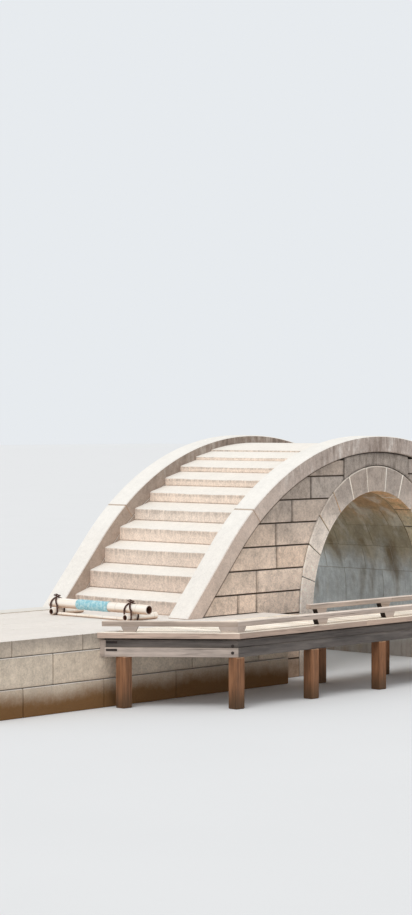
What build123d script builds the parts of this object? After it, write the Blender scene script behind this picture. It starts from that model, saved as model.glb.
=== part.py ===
from build123d import *
import math
import os

# A stone moon bridge between two stone causeways, with a timber walk that goes round it.
# Millimetres. X runs along the bridge, Y across it and Z up. In the working coordinates of
# this file x = 0 is the crown, y = 0 the middle of the bridge and z = 0 its lowest stone.
# The saved pieces are shifted across so that the origin is the middle of the footprint.

# Stone bridge as a whole
bridge_width = 2860
paving_height = 950

# Kerbs: long curved stones that edge the steps
kerb_width = 366
kerb_depth = 232
kerb_projection = 40
kerb_radius = 4237
kerb_leg_angle = 48.9
kerb_joint_angle = 40.2

# Arch: a half ellipse on straight jambs, with a ring of wedge stones at each face
arch_half_span = 1411
arch_rise = 1668
arch_spring_height = 903
ring_depth_at_spring = 291
ring_depth_at_crown = 368
keystone_angle = 7.8
wedge_angle = 13.6
wedges_a_side = 5

# Side walls of the arch, in level courses, with one long stone over the crown
course_height = 318
first_course_top = 271
crown_stone_half = 735
crown_stone_depth = 207

# Steps: sloping treads with upright risers, and a landing at the crown
steps_a_side = 9
first_riser_from_foot = 314
landing_half = 921
tread_run_growth = 5.9
tread_slope_rise = 86
lowest_nosing_drop = 165
middle_nosing_drop = 203
landing_drop = 114
step_bed = 70

# Causeways at both ends
causeway_end = 8000
causeway_inner_end = 2460
causeway_near_reach = 1830
border_height = 12

# Timber walk on the near side
walk_start = 6085
walk_corner = 4950
walk_reach = 3210
walk_inner_reach = 1960
deck_board_depth = 72
beam_setback = 40
beam_width = 120
beam_depth = 234
cross_beam_width = 140
cross_beam_depth = 160
post_side = 150
splay_post_share = 0.148
walk_bays = 7
walk_bay = 1389

# Low rails on blocks
rail_setback = 60
rail_width = 100
rail_height = 66
block_height = 72
block_foot_length = 150
block_top_length = 220
block_width = 90
block_lead = 193
splay_block_share = 0.19
corner_block_splay = 220
corner_block_run = 140
inner_rail_setback = 140

# Bamboo barrier that lies in front of the steps
pole_diameter = 135
pole_length = 1880
pole_bore = 100
pole_hollow = 160
pole_from_step = 928
pole_offset = -390
foot_diameter = 95
foot_bore = 66
foot_length = 580
foot_lead = 170
near_foot_from_end = 330
far_foot_from_end = 120
spacer_diameter = 46
spacer_gap = 30
spacer_from_pole = 45
wrap_thickness = 2.5
wrap_length = 605
wrap_from_middle = 93
lashing_thickness = 15
lashing_width = 50

# Joints and seats
bed_joint = 0.4
stone_joint = 0.8

# Places worked out from the sizes above
half_width = bridge_width / 2
wall_face = half_width - kerb_projection
kerb_inner = half_width - kerb_width
outer_half_span = arch_half_span + ring_depth_at_spring
outer_rise = arch_rise + ring_depth_at_crown
crown_top = arch_spring_height + outer_rise + crown_stone_depth + kerb_depth
kerb_centre = crown_top - kerb_radius
leg_start = kerb_radius * math.sin(math.radians(kerb_leg_angle))
leg_top = kerb_centre + kerb_radius * math.cos(math.radians(kerb_leg_angle))
leg_slope = math.tan(math.radians(kerb_leg_angle))
kerb_foot = leg_start + (leg_top - paving_height) / leg_slope
first_riser = kerb_foot - first_riser_from_foot
walk_turn = math.atan2(walk_reach - causeway_near_reach, walk_start - walk_corner)
turn_degrees = math.degrees(walk_turn)
deck_bottom = paving_height - deck_board_depth
beam_bottom = deck_bottom - beam_depth
footprint_middle = (half_width - walk_reach) / 2

os.makedirs("parts", exist_ok=True)


def save(node, shapes):
    """Write the solids of one piece, moved so that the origin is the footprint's middle."""
    solids = [solid for shape in shapes for solid in shape.solids()]
    whole = Compound(solids) if len(solids) > 1 else solids[0]
    export_step(Pos(0, -footprint_middle, 0) * whole, f"parts/{node}.step")


def across(outline, near, far):
    """Solid of a side-view outline between two places across the bridge."""
    return extrude(Plane.XZ.offset(-far) * outline, amount=far - near)


def upright(points, low, high):
    """Solid that stands on an outline in plan."""
    return extrude(Pos(0, 0, low) * make_face(Polyline(*points, close=True)), amount=high - low)


def block(left, right, near, far, low, high):
    """Straight block between named places."""
    return Pos(left, near, low) * Box(
        right - left, far - near, high - low, align=(Align.MIN, Align.MIN, Align.MIN)
    )


def mirrored(shape):
    """The same piece on the other side of the crown."""
    return mirror(shape, Plane.YZ)


def kerb_line(x):
    """Height of the kerb's top line above the ground of the bridge."""
    if abs(x) > leg_start:
        return leg_top - (abs(x) - leg_start) * leg_slope
    return kerb_centre + math.sqrt(kerb_radius**2 - x**2)


def hump(depth):
    """Side-view outline under the kerb's top line, down to the paving, at a depth below it."""
    radius = kerb_radius - depth
    turn = math.radians(kerb_leg_angle)
    shoulder = (radius * math.sin(turn), kerb_centre + radius * math.cos(turn))
    foot = shoulder[0] + (shoulder[1] - paving_height) / leg_slope
    edges = [
        Line((-foot, paving_height), (-shoulder[0], shoulder[1])),
        ThreePointArc((-shoulder[0], shoulder[1]), (0, crown_top - depth), shoulder),
        Line(shoulder, (foot, paving_height)),
        Line((foot, paving_height), (-foot, paving_height)),
    ]
    return make_face(edges)


def archway(half_span, rise):
    """Side-view outline of a half ellipse on jambs that run down past the lowest stone."""
    jambs = Pos(0, arch_spring_height) * Rectangle(
        2 * half_span, arch_spring_height + rise, align=(Align.CENTER, Align.MAX)
    )
    return Pos(0, arch_spring_height) * Ellipse(half_span, rise) + jambs


def band(low, high, reach=causeway_end):
    """Side-view outline of a level band."""
    return Pos(0, low) * Rectangle(2 * reach, high - low, align=(Align.CENTER, Align.MIN))


def right_of(place):
    """Side-view rectangle over all that lies to the right of a place."""
    return Pos(place, 0) * Rectangle(causeway_end, crown_top, align=(Align.MIN, Align.MIN))


def wedge_joint(angle):
    """Two points on the joint between wedge stones, one inside the ring and one outside."""
    turn = math.radians(angle)
    inner = Vector(arch_half_span * math.sin(turn), arch_rise * math.cos(turn))
    outer = Vector(outer_half_span * math.sin(turn), outer_rise * math.cos(turn))
    lift = Vector(0, arch_spring_height)
    overrun = (outer - inner) / 2
    return lift + inner - overrun, lift + outer + overrun


def wedge_angles():
    """Angles of the joints on one side of the keystone."""
    return [keystone_angle + wedge_angle * number for number in range(wedges_a_side + 1)]


def ring_stones(near, far):
    """Keystone, wedge stones and springers of the arch between two places across it."""
    ring = archway(outer_half_span, outer_rise) - archway(arch_half_span, arch_rise)
    ring = ring & band(0, crown_top)
    half_gap = math.degrees(stone_joint / 2 / outer_rise)
    angles = wedge_angles()
    spans = [(-keystone_angle, keystone_angle)]
    spans += [(low, high) for low, high in zip(angles, angles[1:])]
    spans += [(-high, -low) for low, high in zip(angles, angles[1:])]
    stones = []
    for start, end in spans:
        first = wedge_joint(start + half_gap)
        last = wedge_joint(end - half_gap)
        corners = [first[0], first[1], last[1], last[0]]
        wedge = make_face(Polyline(*corners, close=True))
        stones.append(across(ring & wedge, near, far))
    inner, outer = wedge_joint(angles[-1] + half_gap)
    for sign in (-1, 1):
        corners = [(inner.X, inner.Y), (outer.X, outer.Y), (outer.X, 0), (inner.X, 0)]
        corners = [(sign * x, z) for x, z in corners]
        springer = make_face(Polyline(*corners, close=True))
        stones.append(across(ring & springer, near, far))
    return stones


def wall_outline():
    """Side-view outline of a side wall: under the kerb, over the arch, down to the ground."""
    legs = band(0, paving_height, causeway_inner_end)
    return hump(kerb_depth + bed_joint) + legs - archway(
        outer_half_span + bed_joint, outer_rise + bed_joint
    )


def wall_courses(near, far):
    """Level courses of the right half of a side wall, up to the long stone at the crown."""
    half = wall_outline() & right_of(crown_stone_half)
    joint_height = paving_height + first_course_top
    while joint_height > course_height:
        joint_height -= course_height
    beds = [0]
    while joint_height < crown_top:
        beds.append(joint_height)
        joint_height += course_height
    beds.append(crown_top)
    courses = []
    for low, high in zip(beds, beds[1:]):
        course = half & band(low + stone_joint / 2, high - stone_joint / 2)
        if low == 0:
            course = half & band(low, high - stone_joint / 2)
        if course:
            courses.append(across(course, near, far))
    return courses


def kerb_stones(near, far):
    """The three kerb stones of one edge, named by their place."""
    rim = hump(0) - hump(kerb_depth)
    turn = math.radians(kerb_joint_angle)
    reach = 2 * kerb_radius
    top = (reach * math.sin(turn), kerb_centre + reach * math.cos(turn))
    wedge = make_face(Polyline((0, kerb_centre), (-top[0], top[1]), top, close=True))
    right = across((rim - wedge) & right_of(0), near, far)
    return {"crown": across(rim & wedge, near, far), "right": right, "left": mirrored(right)}


def nosings():
    """Distances of the risers from the crown, from the lowest riser up to the landing's."""
    mean_run = (first_riser - landing_half) / steps_a_side
    middle_number = (steps_a_side - 1) / 2
    places = [landing_half]
    for number in range(steps_a_side):
        places.append(places[-1] + mean_run + tread_run_growth * (middle_number - number))
    return places[::-1]


def nosing_height(x):
    """Height of a step's front edge, on a curve through the lowest, middle and landing edges."""
    places = nosings()
    low, middle, high = places[0], places[len(places) // 2 - 1], places[-1]
    low_height = kerb_line(low) - lowest_nosing_drop
    middle_height = kerb_line(middle) - middle_nosing_drop
    high_height = kerb_line(high) - landing_drop
    lower_slope = (low_height - middle_height) / (low - middle)
    upper_slope = (middle_height - high_height) / (middle - high)
    bend = (lower_slope - upper_slope) / (low - high)
    return middle_height + (x - middle) * (lower_slope + bend * (x - low))


def step_bottoms():
    """Undersides of the steps and the landing, from the lowest up."""
    places = nosings()
    backs = [nosing_height(x) + tread_slope_rise for x in places[:-1]]
    return [paving_height] + [back - step_bed for back in backs]


def step_stones():
    """Side-view outlines of the steps of the right flight, from the lowest up."""
    places = nosings()
    bottoms = step_bottoms()
    outlines = []
    for front, back, bottom in zip(places, places[1:], bottoms):
        top = nosing_height(front)
        outline = [(front, bottom), (front, top), (back, top + tread_slope_rise), (back, bottom)]
        outlines.append(make_face(Polyline(*outline, close=True)))
    return outlines


def landing():
    """Side-view outline of the slightly arched landing."""
    bottom = step_bottoms()[-1]
    top = nosing_height(landing_half)
    edges = [
        Line((-landing_half, bottom), (-landing_half, top)),
        ThreePointArc((-landing_half, top), (0, crown_top - landing_drop), (landing_half, top)),
        Line((landing_half, top), (landing_half, bottom)),
        Line((landing_half, bottom), (-landing_half, bottom)),
    ]
    return make_face(edges)


def core_outline():
    """Side-view outline of the rubble that fills the bridge under the steps."""
    places = nosings()
    bottoms = step_bottoms()
    outline = band(0, paving_height, causeway_inner_end)
    for place, bottom in zip(places[1:], bottoms[1:]):
        outline += band(paving_height, bottom, place)
    return outline - archway(outer_half_span + bed_joint, outer_rise + bed_joint)


def walk_line(inset):
    """Corners of the walk's outer edge moved inwards: start, corner, corner and end."""
    corner = walk_corner - inset * math.tan(walk_turn / 2)
    start = walk_start - inset / math.sin(walk_turn)
    reach = -walk_reach + inset
    wall = -causeway_near_reach
    return [(-start, wall), (-corner, reach), (corner, reach), (start, wall)]


def edge_timbers(setback, width, low, high):
    """Three timbers along the walk's outer edge, mitred at the corners."""
    outer = walk_line(setback)
    inner = walk_line(setback + width)
    timbers = []
    for number in range(3):
        corners = [outer[number], outer[number + 1], inner[number + 1], inner[number]]
        timbers.append(upright(corners, low, high))
    saw_cut = stone_joint / 2
    cuts = []
    for number in (1, 2):
        start, end = outer[number], inner[number]
        along = Vector(end[0] - start[0], end[1] - start[1]).normalized()
        side_step = Vector(-along.Y, along.X) * saw_cut
        corners = [
            (start[0] - along.X * width + side_step.X, start[1] - along.Y * width + side_step.Y),
            (start[0] - along.X * width - side_step.X, start[1] - along.Y * width - side_step.Y),
            (end[0] + along.X * width - side_step.X, end[1] + along.Y * width - side_step.Y),
            (end[0] + along.X * width + side_step.X, end[1] + along.Y * width + side_step.Y),
        ]
        cuts.append(upright(corners, low, high))
    return [timber - cuts for timber in timbers]


def splay_place(inset, share):
    """Place on the splay, at a distance in from its edge and a share of the way to the corner."""
    start, corner = walk_line(inset)[:2]
    return start[0] + share * (corner[0] - start[0]), start[1] + share * (corner[1] - start[1])


def bay_places():
    """Distances along the straight run where posts, cross beams and inner blocks are set."""
    return [walk_bay * (number - walk_bays / 2) for number in range(1, walk_bays)]


def block_places():
    """Distances along the straight run of the outer rail's blocks, a lead inwards of the posts."""
    return [place - math.copysign(block_lead, place) for place in bay_places()]


def post(place):
    """Square post under the walk at a place in plan."""
    return Pos(*place) * Box(
        post_side, post_side, beam_bottom, align=(Align.CENTER, Align.CENTER, Align.MIN)
    )


def rail_block(place, turn=0):
    """Block under a rail, longer at its top than at its foot."""
    half_foot = block_foot_length / 2
    half_top = block_top_length / 2
    outline = [(-half_foot, 0), (-half_top, block_height), (half_top, block_height), (half_foot, 0)]
    half = block_width / 2
    solid = across(make_face(Polyline(*outline, close=True)), -half, half)
    return Pos(place[0], place[1], paving_height) * Rot(0, 0, turn) * solid


def corner_block(corner):
    """Block under the outer rail's left corner: an arm on the splay and one on the run, mitred."""
    slope = (block_top_length - block_foot_length) / 2
    half = block_width / 2
    arms = []
    for top_length, turn in ((corner_block_splay, 180 - turn_degrees), (corner_block_run, 0)):
        foot_length = top_length - slope
        outline = [(-block_width, 0), (-block_width, block_height)]
        outline += [(top_length, block_height), (foot_length, 0)]
        arms.append(Rot(0, 0, turn) * across(make_face(Polyline(*outline, close=True)), -half, half))
    reach = 2 * corner_block_splay
    run_side = Rot(0, 0, -turn_degrees / 2) * Box(
        reach, reach, block_height, align=(Align.MIN, Align.CENTER, Align.MIN)
    )
    splay_arm, run_arm = arms
    solid = (splay_arm - run_side) + (run_arm & run_side)
    return Pos(corner[0], corner[1], paving_height) * solid


def bamboo(diameter, bore, length, hollow):
    """Bamboo pole along Y with open hollow ends and closed joints inside."""
    pole = Rot(90, 0, 0) * Cylinder(diameter / 2, length)
    for sign in (-1, 1):
        end = Pos(0, sign * (length - hollow) / 2, 0) * Rot(90, 0, 0) * Cylinder(bore / 2, hollow)
        pole -= end
    return pole


def sleeve(inner_diameter, thickness, length):
    """Thin tube along Y."""
    radius = inner_diameter / 2
    return Rot(90, 0, 0) * (Cylinder(radius + thickness, length) - Cylinder(radius, length))


# Arch rings at the two faces, and the barrel of the vault between them
save("near_arch_ring", ring_stones(-wall_face, -kerb_inner))
save("far_arch_ring", ring_stones(kerb_inner, wall_face))
save("vault", ring_stones(-kerb_inner, kerb_inner))

# Side walls, in courses, with one long stone over the crown
for place, near, far in (("near", -wall_face, -kerb_inner), ("far", kerb_inner, wall_face)):
    courses = wall_courses(near, far)
    save(f"{place}_right_side_wall", courses)
    save(f"{place}_left_side_wall", [mirrored(course) for course in courses])
    crown_stone = wall_outline() & band(0, crown_top, crown_stone_half)
    save(f"{place}_crown_stone", [across(crown_stone, near, far)])

# Kerbs over the side walls
for place, near, far in (("near", -half_width, -kerb_inner), ("far", kerb_inner, half_width)):
    for name, stone in kerb_stones(near, far).items():
        save(f"{place}_{name}_kerb", [stone])

# Rubble core, steps and landing
save("rubble_core", [across(core_outline(), -kerb_inner, kerb_inner)])
for number, outline in enumerate(step_stones(), start=1):
    step = across(outline, -kerb_inner, kerb_inner)
    save(f"right_step_{number}", [step])
    save(f"left_step_{number}", [mirrored(step)])
save("crown_landing", [across(landing(), -kerb_inner, kerb_inner)])

# Causeways, and the low border along their far edge
causeway = block(
    causeway_inner_end, causeway_end, -causeway_near_reach, half_width, 0, paving_height
)
save("right_causeway", [causeway])
save("left_causeway", [mirrored(causeway)])
border = block(
    kerb_foot, causeway_end, kerb_inner, half_width, paving_height, paving_height + border_height
)
save("causeway_borders", [border, mirrored(border)])

# Boarding of the timber walk
edge = walk_line(0)
right_boarding = upright(
    [
        edge[3],
        edge[2],
        (causeway_inner_end, -walk_reach),
        (causeway_inner_end, -causeway_near_reach),
    ],
    deck_bottom,
    paving_height,
)
save("right_walk_boards", [right_boarding])
save("left_walk_boards", [mirrored(right_boarding)])
middle_boarding = block(
    -causeway_inner_end,
    causeway_inner_end,
    -walk_reach,
    -walk_inner_reach,
    deck_bottom,
    paving_height,
)
save("middle_walk_boards", [middle_boarding])

# Beams under the boarding
save("outer_beams", edge_timbers(beam_setback, beam_width, beam_bottom, deck_bottom))
inner_beam_far = -walk_inner_reach - beam_setback
inner_beam_near = inner_beam_far - beam_width
inner_beam = block(
    -causeway_inner_end, causeway_inner_end, inner_beam_near, inner_beam_far, beam_bottom, deck_bottom
)
save("inner_beam", [inner_beam])

# Cross beams from the outer beam to the causeway or to the inner beam
beam_line = beam_setback + beam_width / 2
corner_place = walk_line(beam_line)[1]
beam_inside = -walk_reach + beam_setback + beam_width
cross_beam_bottom = deck_bottom - cross_beam_depth
cross_beams = []
for place in bay_places():
    far_end = inner_beam_near if abs(place) < causeway_inner_end else -causeway_near_reach
    left = place - cross_beam_width / 2
    right = place + cross_beam_width / 2
    cross_beams.append(block(left, right, beam_inside, far_end, cross_beam_bottom, deck_bottom))
corner_left = corner_place[0] + post_side / 2
corner_right = corner_left + cross_beam_width
corner_beam = block(
    corner_left, corner_right, beam_inside, -causeway_near_reach, cross_beam_bottom, deck_bottom
)
save("cross_beams", cross_beams + [corner_beam, mirrored(corner_beam)])

# Posts under the beams
outer_posts = [post((place, corner_place[1])) for place in bay_places()]
end_posts = [post(splay_place(beam_line, splay_post_share)), post(corner_place)]
inner_posts = [
    post((place, inner_beam_far - beam_width / 2))
    for place in bay_places()
    if abs(place) < causeway_inner_end
]
save("walk_posts", outer_posts + end_posts + [mirrored(item) for item in end_posts] + inner_posts)

# Low rails and the blocks they lie on
rail_bottom = paving_height + block_height
rail_top = rail_bottom + rail_height
save("outer_rail", edge_timbers(rail_setback, rail_width, rail_bottom, rail_top))
inner_rail_end = causeway_inner_end - inner_rail_setback
inner_rail_far = -walk_inner_reach - rail_setback
inner_rail = block(
    -inner_rail_end, inner_rail_end, inner_rail_far - rail_width, inner_rail_far, rail_bottom, rail_top
)
save("inner_rail", [inner_rail])
rail_centre = rail_setback + rail_width / 2
rail_corner = walk_line(rail_centre)[1]
end_blocks = [
    rail_block(splay_place(rail_centre, splay_block_share), -turn_degrees),
    corner_block(rail_corner),
]
run_blocks = [rail_block((place, rail_corner[1])) for place in block_places()]
inner_blocks = [
    rail_block((place, inner_rail_far - rail_width / 2))
    for place in bay_places()
    if abs(place) < causeway_inner_end
]
save("rail_blocks", run_blocks + end_blocks + [mirrored(item) for item in end_blocks] + inner_blocks)

# Bamboo barrier in front of the left flight
pole_x = -first_riser - pole_from_step
foot_top = paving_height + bed_joint + foot_diameter
pole_height = foot_top + bed_joint + pole_diameter / 2
pole_place = Pos(pole_x, pole_offset, pole_height)
save("bamboo_pole", [pole_place * bamboo(pole_diameter, pole_bore, pole_length, pole_hollow)])
foot_height = paving_height + bed_joint + foot_diameter / 2
near_foot = pole_offset - pole_length / 2 + near_foot_from_end
far_foot = pole_offset + pole_length / 2 - far_foot_from_end
feet = [
    Pos(pole_x + foot_lead, place, foot_height)
    * Rot(0, 0, 90)
    * bamboo(foot_diameter, foot_bore, foot_length, foot_bore)
    for place in (near_foot, far_foot)
]
save("bamboo_feet", feet)
spacer_length = far_foot - near_foot - foot_diameter - spacer_gap
spacer = Pos(
    pole_x - spacer_from_pole,
    (near_foot + far_foot) / 2,
    paving_height + bed_joint + spacer_diameter / 2,
) * bamboo(spacer_diameter, spacer_diameter / 2, spacer_length, spacer_diameter)
save("bamboo_spacer", [spacer])
wrap = sleeve(pole_diameter + 2 * bed_joint, wrap_thickness, wrap_length)
save("cloth_wrap", [Pos(pole_x, pole_offset + wrap_from_middle, pole_height) * wrap])
lashing = sleeve(pole_diameter + 2 * bed_joint, lashing_thickness, lashing_width)
lashing_step = (foot_diameter + lashing_width) / 2 + bed_joint
lashings = [
    Pos(pole_x, place + side * lashing_step, pole_height) * lashing
    for place in (near_foot, far_foot)
    for side in (-1, 1)
]
save("rope_lashings", lashings)
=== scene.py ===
"""Cut stone, weathered timber and bamboo of the moon bridge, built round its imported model."""

import logging
import math
import random
from collections.abc import Sequence
from dataclasses import dataclass, field
from enum import Enum
from functools import cache, cached_property

import bmesh
import bpy
from mathutils import Matrix, Vector


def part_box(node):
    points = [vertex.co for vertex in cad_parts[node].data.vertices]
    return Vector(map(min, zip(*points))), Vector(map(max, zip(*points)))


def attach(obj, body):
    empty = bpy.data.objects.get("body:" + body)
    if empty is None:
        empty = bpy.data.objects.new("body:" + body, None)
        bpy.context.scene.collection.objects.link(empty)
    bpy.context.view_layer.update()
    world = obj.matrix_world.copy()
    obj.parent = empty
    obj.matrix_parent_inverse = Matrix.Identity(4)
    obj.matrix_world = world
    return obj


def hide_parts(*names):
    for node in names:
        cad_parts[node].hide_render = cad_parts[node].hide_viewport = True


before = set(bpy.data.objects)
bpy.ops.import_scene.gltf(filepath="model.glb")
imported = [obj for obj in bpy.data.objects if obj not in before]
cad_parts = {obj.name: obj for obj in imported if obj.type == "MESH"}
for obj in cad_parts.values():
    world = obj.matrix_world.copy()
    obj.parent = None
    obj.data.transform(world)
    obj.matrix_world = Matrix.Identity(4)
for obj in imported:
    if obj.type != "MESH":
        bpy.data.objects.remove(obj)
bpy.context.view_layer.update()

log = logging.getLogger("moon_bridge")

Colour = tuple[float, float, float]
Flat = tuple[float, float]
Rib = tuple[Flat, Flat]

ALONG, ACROSS, UP = Vector((1, 0, 0)), Vector((0, 1, 0)), Vector((0, 0, 1))
HAIR = 0.001  # softened edge of what is too thin to show one


def shade(red: float, green: float, blue: float) -> Colour:
    """Linear colour of a display colour given in steps of 0 to 255."""
    steps = [step / 255 for step in (red, green, blue)]
    return tuple(s / 12.92 if s <= 0.04045 else ((s + 0.055) / 1.055) ** 2.4 for s in steps)


@dataclass(frozen=True, eq=False)
class Signal:
    """Output of a node, for sums that are written as with numbers."""

    sketch: "NodeSketch"
    socket: bpy.types.NodeSocket

    def __add__(self, other: object) -> "Signal":
        """This and the other."""
        return self.sketch.sums("ADD", self, other)

    __radd__ = __add__

    def __sub__(self, other: object) -> "Signal":
        """This less the other."""
        return self.sketch.sums("SUBTRACT", self, other)

    def __rsub__(self, other: object) -> "Signal":
        """The other less this."""
        return self.sketch.sums("SUBTRACT", other, self)

    def __mul__(self, other: object) -> "Signal":
        """This times the other."""
        return self.sketch.sums("MULTIPLY", self, other)

    def __abs__(self) -> "Signal":
        """This without its sign."""
        return self.sketch.sums("ABSOLUTE", self)


class NodeSketch:
    """Node graph of a material or the world while it is being drawn."""

    def __init__(self, owner: bpy.types.Material | bpy.types.World) -> None:
        """Start an empty graph.

        Args:
            owner: What the graph belongs to.
        """
        self.owner = owner
        owner.use_nodes = True
        self.tree = owner.node_tree
        self.tree.nodes.clear()

    def node(
        self, kind: str, feeds: dict[int | str, object], output: int | str = 0, **settings: object
    ) -> Signal:
        """Add a node.

        Args:
            kind: Blender's type name of the node, after ShaderNode.
            feeds: Signal or plain value of its inputs; three numbers are a display colour.
            output: Which output is wanted.
            settings: Options of the node by name.

        Returns:
            The output.
        """
        made = self.tree.nodes.new(f"ShaderNode{kind}")
        for key, value in settings.items():
            setattr(made, key, value)
        for key, value in feeds.items():
            socket = made.inputs[key]
            if isinstance(value, Signal):
                self.tree.links.new(value.socket, socket)
            elif socket.type == "RGBA" and len(value) == 3:
                socket.default_value = (*shade(*value), 1)
            else:
                socket.default_value = value
        return Signal(self, made.outputs[output])

    def split(self, vector: Signal) -> tuple[Signal, ...]:
        """The three parts of a vector."""
        made = self.node("SeparateXYZ", {0: vector}).socket.node
        return tuple(Signal(self, output) for output in made.outputs)

    def attribute(self, name: str) -> Signal:
        """Number that the mesh carries at each point."""
        return self.node("Attribute", {}, "Fac", attribute_name=name)

    @cached_property
    def grain(self) -> Signal:
        """Coordinates along and across the piece's own grain."""
        return self.node("Attribute", {}, "Vector", attribute_name="grain")

    @cached_property
    def place(self) -> Signal:
        """Coordinates in the frame."""
        return self.node("TexCoord", {}, "Object")

    @cached_property
    def where(self) -> tuple[Signal, ...]:
        """Places along the bridge, across it and above its foot."""
        return self.split(self.place)

    @cached_property
    def facing(self) -> tuple[Signal, ...]:
        """The three parts of the direction that a surface faces."""
        return self.split(self.node("NewGeometry", {}, "Normal"))

    @cached_property
    def upward(self) -> Signal:
        """How far a surface lies level and faces up."""
        return self.ease(self.facing[2], 0.2, 0.75)

    def sums(self, kind: str, first: object, second: object = 0.0) -> Signal:
        """One arithmetic step, by Blender's name for it."""
        return self.node("Math", {0: first, 1: second}, operation=kind)

    def stretch(self, vector: Signal, scale: Colour) -> Signal:
        """Coordinates or colour with a factor for each of their three parts."""
        return self.node("VectorMath", {0: vector, 1: scale}, operation="MULTIPLY")

    def noise(
        self, vector: Signal, scale: float, detail: float = 3.0, rough: float = 0.55
    ) -> Signal:
        """Soft noise from 0 to 1, by its waves a metre, finer layers and their strength."""
        feeds = {"Vector": vector, "Scale": scale, "Detail": detail, "Roughness": rough}
        return self.node("TexNoise", feeds, "Fac")

    def drawn(
        self, vector: Signal, scale: Colour, detail: float = 3.0, rough: float = 0.55
    ) -> Signal:
        """Soft noise with its own waves a metre in each direction."""
        return self.noise(self.stretch(vector, scale), 1, detail, rough)

    def ease(
        self, value: Signal, start: float, end: float, low: float = 0.0, high: float = 1.0
    ) -> Signal:
        """Smooth step from low to high while a value goes from start to end."""
        feeds = dict(enumerate((value, start, end, low, high)))
        return self.node("MapRange", feeds, interpolation_type="SMOOTHSTEP")

    def blend(self, share: Signal, first: object, second: object) -> Signal:
        """Mix of two colours, by the share of the second."""
        return self.node("Mix", {0: share, 6: first, 7: second}, 2, data_type="RGBA")

    def scaled(self, colour: object, factor: Signal) -> Signal:
        """Colour made brighter or darker."""
        return self.node("VectorMath", {0: colour, "Scale": factor}, operation="SCALE")

    def sway(self, *parts: tuple[Signal, float]) -> Signal:
        """Brightness that wavers round 1 with signals, each by its own strength."""
        return sum(((signal - 0.5) * strength for signal, strength in parts), start=1.0)

    def close(self, shader: Signal) -> bpy.types.ID:
        """End the graph.

        Args:
            shader: The last shader.

        Returns:
            What the graph belongs to.
        """
        output = self.tree.nodes.new(f"ShaderNodeOutput{type(self.owner).__name__}")
        self.tree.links.new(shader.socket, output.inputs["Surface"])
        return self.owner

    def surface(
        self, colour: Signal, rough: object, height: Signal, bump: float, sheen: float = 0.3
    ) -> bpy.types.Material:
        """End the graph with the surface shader.

        Args:
            colour: Base colour.
            rough: Roughness.
            height: Height for the bump.
            bump: Size of the bump in metres.
            sheen: Level of the plain gloss.

        Returns:
            The finished material.
        """
        relief = self.node("Bump", {"Distance": bump, "Height": height})
        feeds = {"Base Color": colour, "Roughness": rough, "Specular IOR Level": sheen}
        return self.close(self.node("BsdfPrincipled", feeds | {"Normal": relief}))


@dataclass(frozen=True)
class Finish:
    """What a piece is made of."""

    name: str

    def sketch(self) -> NodeSketch:
        """Empty graph of the finish's material."""
        return NodeSketch(bpy.data.materials.new(self.name))


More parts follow.
